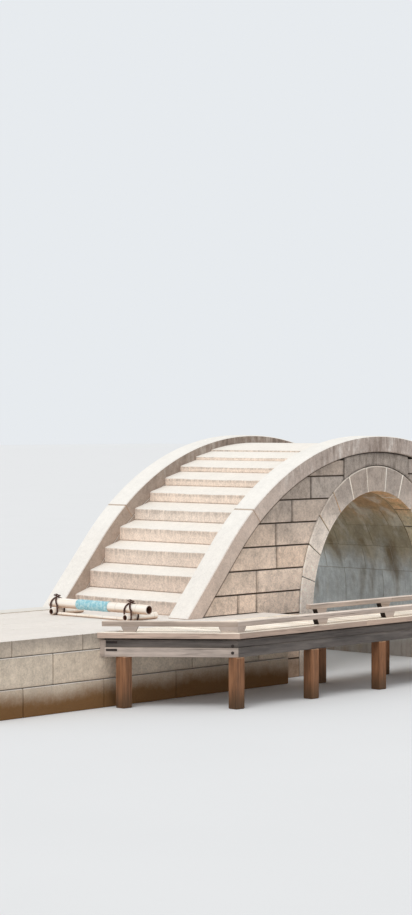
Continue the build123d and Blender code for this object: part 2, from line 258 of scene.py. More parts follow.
@dataclass(frozen=True)
class Granite(Finish):
    """Weathered granite: washed pale on top, speckled, warmer low down and stained high up."""

    side: Colour
    low: Colour
    top: Colour
    stain: Colour
    heights: Flat = (1.0, 2.4)
    streaks: float = 0.2
    washed: float = 0.0
    streak_heights: Flat = (1.6, 3.0)
    blotches: float = 0.1
    mottling: float = 0.14
    specks: float = 0.12
    stone_sway: float = 0.1
    warm_sway: float = 0.25
    rim_shade: float = 0.12
    damp: float = 0.0
    soffit: bool = False
    # Centre, radius and leg angle of the kerb's underside, along which the wall takes painted shade
    # and soil.
    soil_line: Colour | None = None
    trodden: Colour | None = None

    @cache
    def material(self) -> bpy.types.Material:
        """Draw the stone's material.

        Returns:
            The material, the same one at each call.
        """
        sketch = self.sketch()
        place, grain, upward = sketch.place, sketch.grain, sketch.upward
        _, across, level = sketch.where
        sideways = 1.0 - upward
        blotch = sketch.ease(sketch.noise(grain, 2.6, 4, 0.62), 0.3, 0.7)
        patch = sketch.noise(place, 1.1, 3)
        mottle = sketch.ease(sketch.noise(grain, 11, 5, 0.75), 0.3, 0.7)
        fine = sketch.ease(sketch.noise(grain, 42, 3, 0.75), 0.3, 0.7)
        speck = sketch.noise(grain, 240, 2, 0.6)
        colour = sketch.blend(sketch.ease(level + patch * 0.5, *self.heights), self.low, self.side)
        warmth = sketch.attribute("warmth") * self.warm_sway
        colour = sketch.blend(warmth, colour, sketch.stretch(colour, (1.08, 0.985, 0.9)))
        if self.soffit:
            colour = self.sheltered(sketch, colour)
        colour = self.rained_on(sketch, colour, sideways)
        if self.trodden:
            middle, reach, strength = self.trodden
            dirt = sketch.ease(abs(across - middle), reach + 0.02, reach, 0.0, strength)
            colour = sketch.blend(dirt, colour, sketch.stretch(colour, (0.62, 0.58, 0.54)))
        colour = sketch.blend(upward, colour, self.top)
        # Painted shade under the projecting kerb, together with soil, in the stain colour.
        if self.soil_line:
            colour = sketch.blend(self.soiled(sketch), colour, self.stain)
        sway = sketch.sway(
            (blotch, self.blotches), (mottle, self.mottling), (fine, self.specks), (speck, 0.3)
        )
        sway = sway + sketch.attribute("tone") * self.stone_sway - 1.0
        colour = sketch.scaled(colour, sway * (sideways * 0.7 + 0.3) + 1.0)
        drips = sketch.drawn(place, (20, 20, 3.5), 5, 0.7)
        uneven = sketch.ease(drips, 0.32, 0.66, -0.7, 0.7) * sideways + 1.0
        rim = sketch.attribute("rim") * uneven * self.rim_shade
        colour = sketch.scaled(colour, 1.0 - rim)
        if self.damp:
            edge = level - (patch * 0.22 + mottle * 0.05)
            wet = sketch.ease(edge, 0.30, -0.02) * self.damp
            colour = sketch.blend(wet, colour, (122, 88, 52))
        rough = sketch.ease(blotch, 0.0, 1.0, 0.78, 0.92)
        return sketch.surface(colour, rough, mottle + fine * 0.6, 0.004)

    def rained_on(self, sketch: NodeSketch, colour: Signal, sideways: Signal) -> Signal:
        """Colour with what rain has washed off and drawn down the sides.

        Args:
            sketch: The material being drawn.
            colour: Colour of the dry stone.
            sideways: How far a surface stands upright.

        Returns:
            The new colour.
        """
        wide = sketch.drawn(sketch.place, (5, 5, 1.3), 6, 0.7)
        thin = sketch.drawn(sketch.place, (15, 15, 3.2), 5, 0.7)
        runs = (wide + thin) * 0.5
        upper = sketch.ease(sketch.where[2], *self.streak_heights, 0.15, 1.0) * sideways
        pale = sketch.ease(runs, 0.5, 0.38) * self.washed
        dark = sketch.ease(runs, 0.48, 0.62) * self.streaks
        colour = sketch.blend(pale * upper, colour, self.top)
        return sketch.blend(dark * upper, colour, self.stain)

    def soiled(self, sketch: NodeSketch) -> Signal:
        """Share of the painted shade and soil along the underside of the kerb: a thin dark line
        close under it, and a faint wider band of painted shadow below that.

        Args:
            sketch: The material being drawn.

        Returns:
            The share.
        """
        centre, radius, leg = self.soil_line
        along, high = abs(sketch.where[0]), sketch.where[2] - centre
        arc = sketch.sums("SQRT", along * along + high * high)
        straight = along * math.sin(leg) + high * math.cos(leg)
        past = sketch.sums("GREATER_THAN", along * math.cos(leg) - high * math.sin(leg), 0.0)
        reach = arc + past * (straight - arc)
        wide = sketch.ease(reach, radius - 0.85, radius - 0.05, 0.0, 0.2)
        line = sketch.ease(reach + along * 0.008, radius - 0.030, radius - 0.008, 0.0, 0.8)
        return sketch.sums("MAXIMUM", line, wide)

    def sheltered(self, sketch: NodeSketch, colour: Signal) -> Signal:
        """Colour under the arch: washed grey low down, brown above and rusty at the crown, kept
        light partly as painted light standing in for light reflected up from the water.

        Args:
            sketch: The material being drawn.
            colour: Colour of the stone outside.

        Returns:
            The new colour.
        """
        waver = sketch.where[2] + sketch.noise(sketch.place, 1.7, 4, 0.6) * 0.9
        # These pale colours are partly painted light, for the light reflected up from the water.
        inner = sketch.blend(sketch.ease(waver, 1.7, 2.3), (224, 231, 232), (184, 172, 146))
        inner = sketch.blend(sketch.ease(waver, 2.4, 2.95), inner, (206, 164, 120))
        drips = sketch.drawn(sketch.place, (2.6, 2.6, 0.7), 4, 0.5)
        inner = sketch.blend(sketch.ease(drips, 0.54, 0.74, 0.0, 0.8), inner, (120, 100, 66))
        inner = sketch.blend(sketch.ease(drips, 0.45, 0.3, 0.0, 0.7), inner, (226, 222, 208))
        return sketch.blend(sketch.ease(abs(sketch.facing[1]), 0.75, 0.45), colour, inner)


@dataclass(frozen=True)
class Timber(Finish):
    """Weathered timber, with its grain along each piece."""

    face: Colour
    top: Colour
    crack: Colour
    cracks: float = 0.55
    sway: float = 0.16
    piece_sway: float = 0.1
    foot: float = 0.0
    # Colour of the end faces; the rail blocks' near black is painted shade, together with darker
    # end grain.
    end: Colour | None = None

    @cache
    def material(self) -> bpy.types.Material:
        """Draw the timber's material.

        Returns:
            The material, the same one at each call.
        """
        sketch = self.sketch()
        grain = sketch.grain
        bands = sketch.ease(sketch.drawn(grain, (1.2, 24, 24), 5, 0.65), 0.3, 0.7)
        fibres = sketch.drawn(grain, (9, 260, 260), 3, 0.6)
        patches = sketch.ease(sketch.drawn(grain, (1.6, 7, 7), 4, 0.6), 0.3, 0.7)
        split = sketch.ease(sketch.drawn(grain, (1.6, 70, 70), 2), 0.62, 0.72) * self.cracks
        colour = sketch.blend(sketch.upward, self.face, self.top)
        warmth = sketch.attribute("warmth") * 0.4
        colour = sketch.blend(warmth, colour, sketch.stretch(colour, (1.1, 0.97, 0.82)))
        sway = sketch.sway((bands, self.sway), (fibres, self.sway), (patches, self.sway))
        colour = sketch.scaled(colour, sway + sketch.attribute("tone") * self.piece_sway)
        colour = sketch.blend(split, colour, self.crack)
        rim = sketch.attribute("rim")
        # The end faces take the end colour: painted shade on the rail blocks.
        if self.end:
            colour = sketch.blend(rim, colour, self.end)
        else:
            colour = sketch.scaled(colour, 1.0 - rim * 0.12)
        if self.foot:
            wet = sketch.ease(sketch.where[2], 0.32, 0.02) * self.foot
            colour = sketch.blend(wet, colour, (70, 56, 38))
        rough = sketch.ease(patches, 0.0, 1.0, 0.7, 0.9)
        return sketch.surface(colour, rough, bands + fibres - split, 0.003)


@dataclass(frozen=True)
class Bamboo(Finish):
    """Dried bamboo: pale skin with long fibres, painted shade on its underside, and darker at its
    rings and in its bore.
    """

    skin: Colour
    warm: Colour
    # Brown of the painted shade on the underside.
    under: Colour
    hollow: Colour

    @cache
    def material(self) -> bpy.types.Material:
        """Draw the bamboo's material.

        Returns:
            The material, the same one at each call.
        """
        sketch = self.sketch()
        bands = sketch.drawn(sketch.grain, (2.2, 30, 30), 4)
        fibres = sketch.drawn(sketch.grain, (12, 300, 300), 3)
        colour = sketch.blend(sketch.ease(bands, 0.35, 0.75), self.skin, self.warm)
        # Painted shade: the skin turns brown where it faces down.
        below = sketch.ease(sketch.facing[2], 0.0, -0.85, 0.0, 0.9)
        colour = sketch.blend(below, colour, self.under)
        colour = sketch.scaled(colour, sketch.sway((fibres, 0.22), (bands, 0.18)))
        colour = sketch.blend(sketch.attribute("rim"), colour, self.hollow)
        rough = sketch.ease(bands, 0.3, 0.7, 0.42, 0.6)
        return sketch.surface(colour, rough, fibres + bands, 0.0015, 0.45)


@dataclass(frozen=True)
class WovenCloth(Finish):
    """Faded woven cloth."""

    dyed: Colour
    faded: Colour

    @cache
    def material(self) -> bpy.types.Material:
        """Draw the cloth's material.

        Returns:
            The material, the same one at each call.
        """
        sketch = self.sketch()
        warp = sketch.drawn(sketch.grain, (400, 60, 60), 1)
        weft = sketch.drawn(sketch.grain, (60, 400, 400), 1)
        wear = sketch.noise(sketch.grain, 26, 4)
        colour = sketch.blend(sketch.ease(wear, 0.35, 0.7), self.dyed, self.faded)
        colour = sketch.scaled(colour, sketch.sway((warp, 0.2), (weft, 0.2), (wear, 0.2)))
        colour = sketch.blend(sketch.attribute("rim") * 0.3, colour, (120, 132, 128))
        rough = sketch.ease(wear, 0.3, 0.7, 0.8, 0.95)
        return sketch.surface(colour, rough, warp + weft, 0.001, 0.2)


@dataclass(frozen=True)
class PalmRope(Finish):
    """Dark palm-fibre rope."""

    fibre: Colour
    dust: Colour

    @cache
    def material(self) -> bpy.types.Material:
        """Draw the rope's material.

        Returns:
            The material, the same one at each call.
        """
        sketch = self.sketch()
        twist = sketch.drawn(sketch.grain, (170, 170, 170), 3)
        dust = sketch.noise(sketch.grain, 22, 3)
        colour = sketch.blend(sketch.ease(dust, 0.45, 0.8, 0.0, 0.6), self.fibre, self.dust)
        colour = sketch.scaled(colour, sketch.sway((twist, 0.7)))
        return sketch.surface(colour, sketch.ease(dust, 0.3, 0.7, 0.8, 0.95), twist, 0.002, 0.2)


@dataclass(frozen=True)
class Iron(Finish):
    """Rusted iron of the bolt heads."""

    rust: Colour
    dark: Colour

    @cache
    def material(self) -> bpy.types.Material:
        """Draw the iron's material.

        Returns:
            The material, the same one at each call.
        """
        sketch = self.sketch()
        scale = sketch.noise(sketch.grain, 90, 4)
        colour = sketch.blend(sketch.ease(scale, 0.35, 0.65), self.dark, self.rust)
        return sketch.surface(colour, sketch.ease(scale, 0.3, 0.7, 0.6, 0.9), scale, 0.001, 0.4)


KERB = Granite(
    "kerb granite", side=(184, 170, 161), low=(210, 194, 183), top=(252, 249, 243),
    stain=(110, 94, 82), heights=(2.4, 3.6), streaks=0.55, washed=0.4,
    streak_heights=(2.4, 3.2), blotches=0.12, mottling=0.2, specks=0.2, stone_sway=0.03,
    rim_shade=0.05, trodden=(0.890, 1.066, 0.75),
)
# Its rim shade also sets how dark the painted shade under the steps' noses is.
STEP = Granite(
    "step granite", side=(248, 232, 218), low=(232, 215, 202), top=(248, 243, 235),
    stain=(176, 152, 132), heights=(1.3, 2.5), streaks=0.1, mottling=0.16, specks=0.3,
    stone_sway=0.04, warm_sway=0.3, rim_shade=0.24,
)
# The wall's and the ring's pale low colours are partly the stone's own and partly painted light,
# standing in for light thrown up from the walk.
WALL = Granite(
    "wall granite", side=(188, 177, 168), low=(247, 227, 210), top=(206, 196, 186),
    stain=(78, 66, 56), heights=(1.5, 3.0), streaks=0.45, streak_heights=(2.2, 2.9),
    blotches=0.26, mottling=0.32, specks=0.32, stone_sway=0.09, warm_sway=0.6, rim_shade=0.45,
    damp=0.7, soil_line=(-0.859, 4.005, math.radians(48.9)),
)
RING = Granite(
    "ring granite", side=(180, 168, 159), low=(253, 242, 231), top=(230, 220, 208),
    stain=(120, 106, 96), heights=(2.0, 2.95), streaks=0.3, streak_heights=(2.1, 2.8),
    blotches=0.18, mottling=0.3, specks=0.24, stone_sway=0.06,
    rim_shade=-0.24, damp=0.6, soffit=True,
)
VAULT = Granite(
    "vault stone", side=(168, 154, 128), low=(192, 196, 194), top=(160, 150, 136),
    stain=(98, 84, 58), blotches=0.24, mottling=0.16, stone_sway=0.06, warm_sway=0.4,
    damp=0.6, soffit=True,
)
LIME = Granite(
    "lime in the joints", side=(244, 238, 228), low=(240, 230, 218),
    top=(240, 234, 224), stain=(200, 188, 174),
)
SAND = Granite(
    "sandy joint filling", side=(176, 148, 126), low=(176, 148, 126),
    top=(206, 188, 170), stain=(150, 126, 106),
)
EARTH = Granite(
    "dark earth in the joints", side=(84, 72, 62), low=(92, 76, 62),
    top=(100, 88, 76), stain=(62, 54, 48),
)
RUBBLE = Granite(
    "rubble fill", side=(150, 140, 126), low=(150, 138, 122), top=(164, 154, 140),
    stain=(100, 90, 80), mottling=0.3,
)
FACING = Granite(
    "causeway facing", side=(174, 163, 151), low=(220, 206, 188), top=(252, 246, 239),
    stain=(128, 116, 100), heights=(0.9, 1.2), streaks=0.12, streak_heights=(0.0, 0.4),
    blotches=0.14, mottling=0.24, specks=0.24, stone_sway=0.06, warm_sway=0.4, damp=1.0,
)
PAVING = Granite(
    "causeway paving", side=(196, 182, 164), low=(196, 182, 164), top=(252, 246, 239),
    stain=(150, 138, 122), stone_sway=0.05, warm_sway=0.3,
)
BORDER = Granite(
    "border granite", side=(206, 196, 182), low=(206, 196, 182), top=(242, 239, 232),
    stain=(150, 140, 128),
)
BOARDS = Timber(
    "walk boards", (200, 178, 164), (251, 244, 232), (96, 72, 58), 0.7, 0.24
)
BEAMS = Timber(
    "beam timber", (200, 187, 179), (196, 184, 172), (70, 62, 58), 0.7, 0.34
)
DARK_BEAMS = Timber(
    "shaded beam timber", (104, 99, 97), (126, 120, 115), (44, 40, 40), 0.6, 0.55
)
RAILS = Timber(
    "rail timber", (190, 175, 165), (232, 221, 211), (88, 72, 62), 0.8, 0.28
)
BLOCKS = Timber(
    "block timber", (184, 170, 161), (206, 194, 184), (98, 86, 76), 0.5,
    # Near-black end faces: painted shade.
    end=(44, 34, 29),
)
POSTS = Timber(
    "post timber", (152, 108, 78), (176, 140, 112), (74, 42, 26), 0.8, 0.5, 0.14, 0.7
)
POLE = Bamboo(
    # The third colour is the painted shade on the underside.
    "dried bamboo", (255, 250, 242), (246, 230, 212), (196, 158, 130),
    (96, 60, 46),
)
CLOTH = WovenCloth("faded wrap", (140, 198, 214), (196, 226, 230))
ROPE = PalmRope("palm rope", (84, 60, 54), (136, 110, 100))
BOLT = Iron("bolt iron", (60, 48, 42), (34, 30, 30))


@dataclass(frozen=True)
class Cut:
    """How one stone or timber was cut: its tone, and where its grain runs."""

    tone: float = 0.0
    warmth: float = 0.5
    lie: Vector = field(default_factory=ALONG.copy)
    offset: Vector = field(default_factory=Vector)

    def grain(self, point: Vector) -> Vector:
        """Place of a point along and across the piece's own grain.

        Args:
            point: Point in the frame.

        Returns:
            Distance along the grain and the two distances across it.
        """
        along = self.lie.normalized()
        side = (UP if abs(along.z) < 0.8 else ACROSS).cross(along).normalized()
        over = along.cross(side)
        return Vector((point.dot(along), point.dot(side), point.dot(over))) + self.offset


class Yard(random.Random):
    """Seeded source of cuts, so that no two stones look alike and each run is the same."""

    def cut(self, lie: Vector) -> Cut:
        """Draw one cut, with its grain in a direction."""
        offset = Vector([self.uniform(-40, 40) for _ in range(3)])
        return Cut(self.uniform(-1, 1), self.random(), lie, offset)

    def slip(self, reach: float) -> float:
        """A small random distance either way."""
        return self.uniform(-reach, reach)


def spaced(low: float, high: float, count: int) -> list[float]:
    """Evenly spaced values over a count of steps, both ends included."""
    return [low + (high - low) * number / count for number in range(count + 1)]


def toward(start: Flat, end: Flat, distance: float) -> Flat:
    """Point at a distance from one point towards another, short of half the way."""
    share = min(distance / (math.dist(start, end) or 1.0), 0.45)
    return start[0] + share * (end[0] - start[0]), start[1] + share * (end[1] - start[1])


def moved(rib: Rib, other: Rib, distance: float) -> Rib:
    """Rib with both points moved a distance towards those of another."""
    return toward(rib[0], other[0], distance), toward(rib[1], other[1], distance)


def narrowed(rib: Rib, distance: float) -> Rib:
    """Rib with both points moved towards each other."""
    return moved(rib, rib[::-1], distance)


def pulled_in(ribs: Sequence[Rib], inset: float) -> list[Rib]:
    """Ribs of an outline moved inwards on all sides.

    Args:
        ribs: Pairs of points that face each other across the outline.
        inset: How far to move.

    Returns:
        The moved ribs.
    """
    inner = [narrowed(rib, inset) for rib in ribs]
    if inset:
        ends = moved(inner[0], inner[1], inset), moved(inner[-1], inner[-2], inset)
        inner[0], inner[-1] = ends
    return inner


def trimmed(ribs: Sequence[Rib], corner: float) -> list[Rib]:
    """Ribs of an outline with its four corners cut off, two more than before."""
    start, end = moved(ribs[0], ribs[1], corner), moved(ribs[-1], ribs[-2], corner)
    return [narrowed(ribs[0], corner), start, *ribs[1:-1], end, narrowed(ribs[-1], corner)]


def mirrored(ribs: Sequence[Rib], side: int) -> list[Rib]:
    """Ribs of the right half, or the same on the left where the side is -1."""
    return [((side * a[0], a[1]), (side * b[0], b[1])) for a, b in ribs]


def swung(x: Flat, side: int) -> Flat:
    """Stretch of the right half, or the same on the left where the side is -1."""
    return x if side > 0 else (-x[1], -x[0])


class Layout(Enum):
    """How the two directions of an outline and its depth lie in the frame."""

    SIDE_VIEW = (ALONG, UP, ACROSS)
    PLAN = (ALONG, ACROSS, UP)

    def place(self, flat: Flat, depth: float) -> Vector:
        """Point of the frame for a point of the outline at a depth."""
        first, second, third = self.value
        return first * flat[0] + second * flat[1] + third * depth


@dataclass
class Draft:
    """Points and faces of a piece while it is being made, in metres, cut in one yard."""

    yard: Yard | None = None
    points: list[Vector] = field(default_factory=list)
    faces: list[tuple[int, ...]] = field(default_factory=list)
    grain: list[Vector] = field(default_factory=list)
    tone: list[float] = field(default_factory=list)
    warmth: list[float] = field(default_factory=list)
    rim: list[float] = field(default_factory=list)

    def loft(
        self, rings: Sequence[Sequence[Vector]], rims: Sequence[float], lie: Vector = ALONG,
        cut: Cut | None = None, paired: bool = False,
    ) -> None:
        """Closed skin through rings of points, with a cap at each end.

        Args:
            rings: Rings with the same number of points.
            rims: How much each ring counts as an edge, 0 to 1.
            lie: Direction of the grain.
            cut: Tone and grain, else a new cut from the yard.
            paired: The caps are strips of four-sided faces between facing points.
        """
        cut = cut or self.yard.cut(lie)
        start, size = len(self.points), len(rings[0])
        for ring, rim in zip(rings, rims):
            self.points += ring
            self.grain += [cut.grain(point) for point in ring]
            self.tone += [cut.tone] * size
            self.warmth += [cut.warmth] * size
            self.rim += [rim] * size
        last = start + (len(rings) - 1) * size
        for low in range(start, last, size):
            for number in range(size):
                after = low + (number + 1) % size
                self.faces.append((low + number, after, after + size, low + size + number))
        for base in (start, last):
            if paired:
                for number in range(size // 2 - 1):
                    across = base + size - 1 - number
                    self.faces.append((base + number, base + number + 1, across - 1, across))
            else:
                self.faces.append(tuple(range(base, base + size)))

    def slab(
        self, ribs: Sequence[Rib], low: float, high: float, arris: float = 0.008,
        band: float = 0.03, lie: Vector = ALONG, layout: Layout = Layout.SIDE_VIEW,
        cut: Cut | None = None,
    ) -> None:
        """Stone or board with an outline, its edges softened all round.

        Args:
            ribs: Pairs of points that face each other across the outline.
            low: Where it begins along the third direction.
            high: Where it ends.
            arris: Width of the softened edges.
            band: Width of the strip along the edges that weathers with them.
            lie: Direction of the grain.
            layout: How the outline lies in the frame.
            cut: Tone and grain, else a new cut from the yard.
        """
        full = trimmed(ribs, arris)
        levels = [(low, arris + band, 0.0), (low, arris, 0.6), (low + arris, 0.0, 1.0)]
        levels += [(high - arris, 0.0, 1.0), (high, arris, 0.6), (high, arris + band, 0.0)]
        rings = []
        for depth, inset, _ in levels:
            inner = pulled_in(full, inset)
            loop = [first for first, _ in inner] + [second for _, second in reversed(inner)]
            rings.append([layout.place(flat, depth) for flat in loop])
        self.loft(rings, [rim for _, _, rim in levels], lie, cut, paired=True)

    def filling(self, ribs: Sequence[Rib], sides: Flat, depth: float) -> None:
        """Strip that fills a joint, set back a depth from both sides."""
        self.slab(ribs, sides[0] + depth, sides[1] - depth, HAIR, HAIR)

    def block(
        self, x: Flat, y: Flat, z: Flat, arris: float = 0.008, band: float = 0.03,
        lie: Vector = ALONG, cut: Cut | None = None,
    ) -> None:
        """Straight stone or timber between places in the three directions."""
        ribs = [((end, z[0]), (end, z[1])) for end in x]
        self.slab(ribs, *y, arris, band, lie, cut=cut)

    def plank(self, ends: Sequence[Rib], z: Flat, arris: float) -> None:
        """Timber between two mitred ends in plan, with its grain from one to the other."""
        lie = Vector((ends[1][0][0] - ends[0][0][0], ends[1][0][1] - ends[0][0][1], 0))
        self.slab(ends, *z, arris, 0.01, lie, Layout.PLAN)

    def rod(
        self, path: Sequence[Vector], radii: Sequence[float], rims: Sequence[float], sides: int
    ) -> None:
        """Round rod along a path.

        Args:
            path: Points of the centre line.
            radii: Radius at each point.
            rims: How much each ring counts as an edge.
            sides: How many sides the rod has.
        """
        rings = []
        across = UP
        for number, point in enumerate(path):
            before = path[max(number - 1, 0)]
            after = path[min(number + 1, len(path) - 1)]
            along = (after - before).normalized()
            if along.length == 0:
                along = (path[-1] - path[0]).normalized()
            if abs(along.dot(across)) > 0.95:
                across = along.orthogonal()
            across = (across - along * across.dot(along)).normalized()
            spokes = circle(across, along.cross(across), sides)
            rings.append([point + spoke * radii[number] for spoke in spokes])
        self.loft(rings, rims)

    def make(self, name: str, finish: Finish, slot: str, nodes: Sequence[str] = ()) -> None:
        """Make the piece and let it ride on the model.

        Args:
            name: Name of the piece.
            finish: What it is made of.
            slot: Not used.
            nodes: Nodes of the model that it stands for.
        """
        mesh = bpy.data.meshes.new(name)
        mesh.from_pydata(self.points, [], self.faces)
        editor = bmesh.new()
        editor.from_mesh(mesh)
        bmesh.ops.recalc_face_normals(editor, faces=editor.faces)
        editor.to_mesh(mesh)
        editor.free()
        lie = mesh.attributes.new("grain", "FLOAT_VECTOR", "POINT")
        lie.data.foreach_set("vector", [value for point in self.grain for value in point])
        for key in ("tone", "warmth", "rim"):
            mesh.attributes.new(key, "FLOAT", "POINT").data.foreach_set("value", getattr(self, key))
        mesh.shade_smooth()
        mesh.set_sharp_from_angle(angle=math.radians(32))
        mesh.materials.append(finish.material())
        piece = bpy.data.objects.new(name, mesh)
        bpy.context.scene.collection.objects.link(piece)
        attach(piece, "root")
        if nodes:
            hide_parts(*nodes)
        log.info("%s: %d faces", name, len(mesh.polygons))


def circle(first: Vector, second: Vector, sides: int) -> list[Vector]:
    """Spokes all round, from the first direction by way of the second."""
    turns = [2 * math.pi * side / sides for side in range(sides)]
    return [first * math.cos(turn) + second * math.sin(turn) for turn in turns]


class Side(Enum):
    """One of two opposite sides, with its sign in the frame."""

    @property
    def word(self) -> str:
        """How the nodes' names spell it."""
        return self.name.lower()


class Hand(Side):
    """The two ends of the bridge."""

    LEFT = -1
    RIGHT = 1


class Face(Side):
    """The two faces of the bridge."""

    NEAR = -1
    FAR = 1


@dataclass(frozen=True)
class HumpShape:
    """Curves and sizes that the stonework shares."""

    middle: float
    half_width: float = 1.430
    paving: float = 0.950
    kerb_width: float = 0.366
    kerb_depth: float = 0.232
    kerb_projection: float = 0.040
    kerb_radius: float = 4.237
    leg_angle: float = math.radians(48.9)
    kerb_joint_angle: float = math.radians(40.2)
    arch_half_span: float = 1.411
    arch_rise: float = 1.668
    spring: float = 0.903
    ring_at_spring: float = 0.291
    ring_at_crown: float = 0.368
    crown_stone_half: float = 0.735
    crown_stone_depth: float = 0.207
    leg_end: float = 2.460
    bed_depth: float = 0.020

    @property
    def outer_half_span(self) -> float:
        """Half the width over the ring of wedge stones."""
        return self.arch_half_span + self.ring_at_spring

    @property
    def outer_rise(self) -> float:
        """Rise of the ring's outer edge over the springing."""
        return self.arch_rise + self.ring_at_crown

    @property
    def crown_top(self) -> float:
        """Top of the kerb at the crown."""
        return self.spring + self.outer_rise + self.crown_stone_depth + self.kerb_depth

    @property
    def kerb_centre(self) -> float:
        """Height of the centre of the kerb's curve."""
        return self.crown_top - self.kerb_radius

    @property
    def kerb_inner(self) -> float:
        """Distance from the middle to the kerb's inner face."""
        return self.half_width - self.kerb_width

    @property
    def inside(self) -> Flat:
        """Inner faces of the near and the far kerb."""
        return self.middle - self.kerb_inner, self.middle + self.kerb_inner

    @property
    def kerb_foot(self) -> float:
        """Place where the kerb's top line meets the paving."""
        shoulder = self.kerb_radius * math.sin(self.leg_angle)
        return shoulder + (self.kerb_line(shoulder) - self.paving) / math.tan(self.leg_angle)

    def kerb_line(self, x: float) -> float:
        """Height of the kerb's top line.

        Args:
            x: Place along the bridge.

        Returns:
            The height.
        """
        shoulder = self.kerb_radius * math.sin(self.leg_angle)
        if abs(x) > shoulder:
            top = self.kerb_centre + self.kerb_radius * math.cos(self.leg_angle)
            return top - (abs(x) - shoulder) * math.tan(self.leg_angle)
        return self.kerb_centre + math.sqrt(self.kerb_radius**2 - x**2)

    def ring_edge(self, z: float) -> float:
        """Distance from the middle of the arch to the ring's outer edge at a height."""
        height = max(0.0, (z - self.spring) / self.outer_rise)
        return self.outer_half_span * math.sqrt(max(0.0, 1 - height**2))

    def kerb_seat(self, z: float) -> float:
        """Distance from the crown to the kerb's underside at a height.

        Args:
            z: The height.

        Returns:
            The distance.
        """
        radius = self.kerb_radius - self.kerb_depth
        shoulder = self.kerb_centre + radius * math.cos(self.leg_angle)
        if z >= shoulder:
            return math.sqrt(max(0.0, radius**2 - (z - self.kerb_centre) ** 2))
        if z >= self.paving:
            return radius * math.sin(self.leg_angle) + (shoulder - z) / math.tan(self.leg_angle)
        return self.leg_end

    def wedge_rib(self, angle: float, width: float | None = None) -> Rib:
        """Points in side view where a line at an angle from the crown crosses the ring.

        Args:
            angle: Angle in radians.
            width: Width of a bed outside the ring, which is then crossed instead.

        Returns:
            The inner and the outer point.
        """
        inner = (self.arch_half_span, self.arch_rise)
        outer = (self.outer_half_span, self.outer_rise)
        if width:
            inner, outer = outer, (outer[0] + width, outer[1] + width)
        sine, cosine = math.sin(angle), math.cos(angle)
        return tuple((span * sine, self.spring + rise * cosine) for span, rise in (inner, outer))

    def jamb_rib(self, side: int, z: float) -> Rib:
        """Inner and outer point of the right jamb at a height, or of the left for side -1."""
        return (side * self.arch_half_span, z), (side * self.outer_half_span, z)

    def faces(self, face: Face, slip: float = 0.0) -> Flat:
        """Near and far side of a stone behind a face.

        Args:
            face: Which face.
            slip: How far the stone stands back from it.

        Returns:
            The two places across the bridge.
        """
        outer = self.half_width - self.kerb_projection
        sides = sorted((face.value * outer, face.value * self.kerb_inner))
        near, far = self.middle + sides[0], self.middle + sides[1]
        return (near + slip, far) if face is Face.NEAR else (near, far - slip)


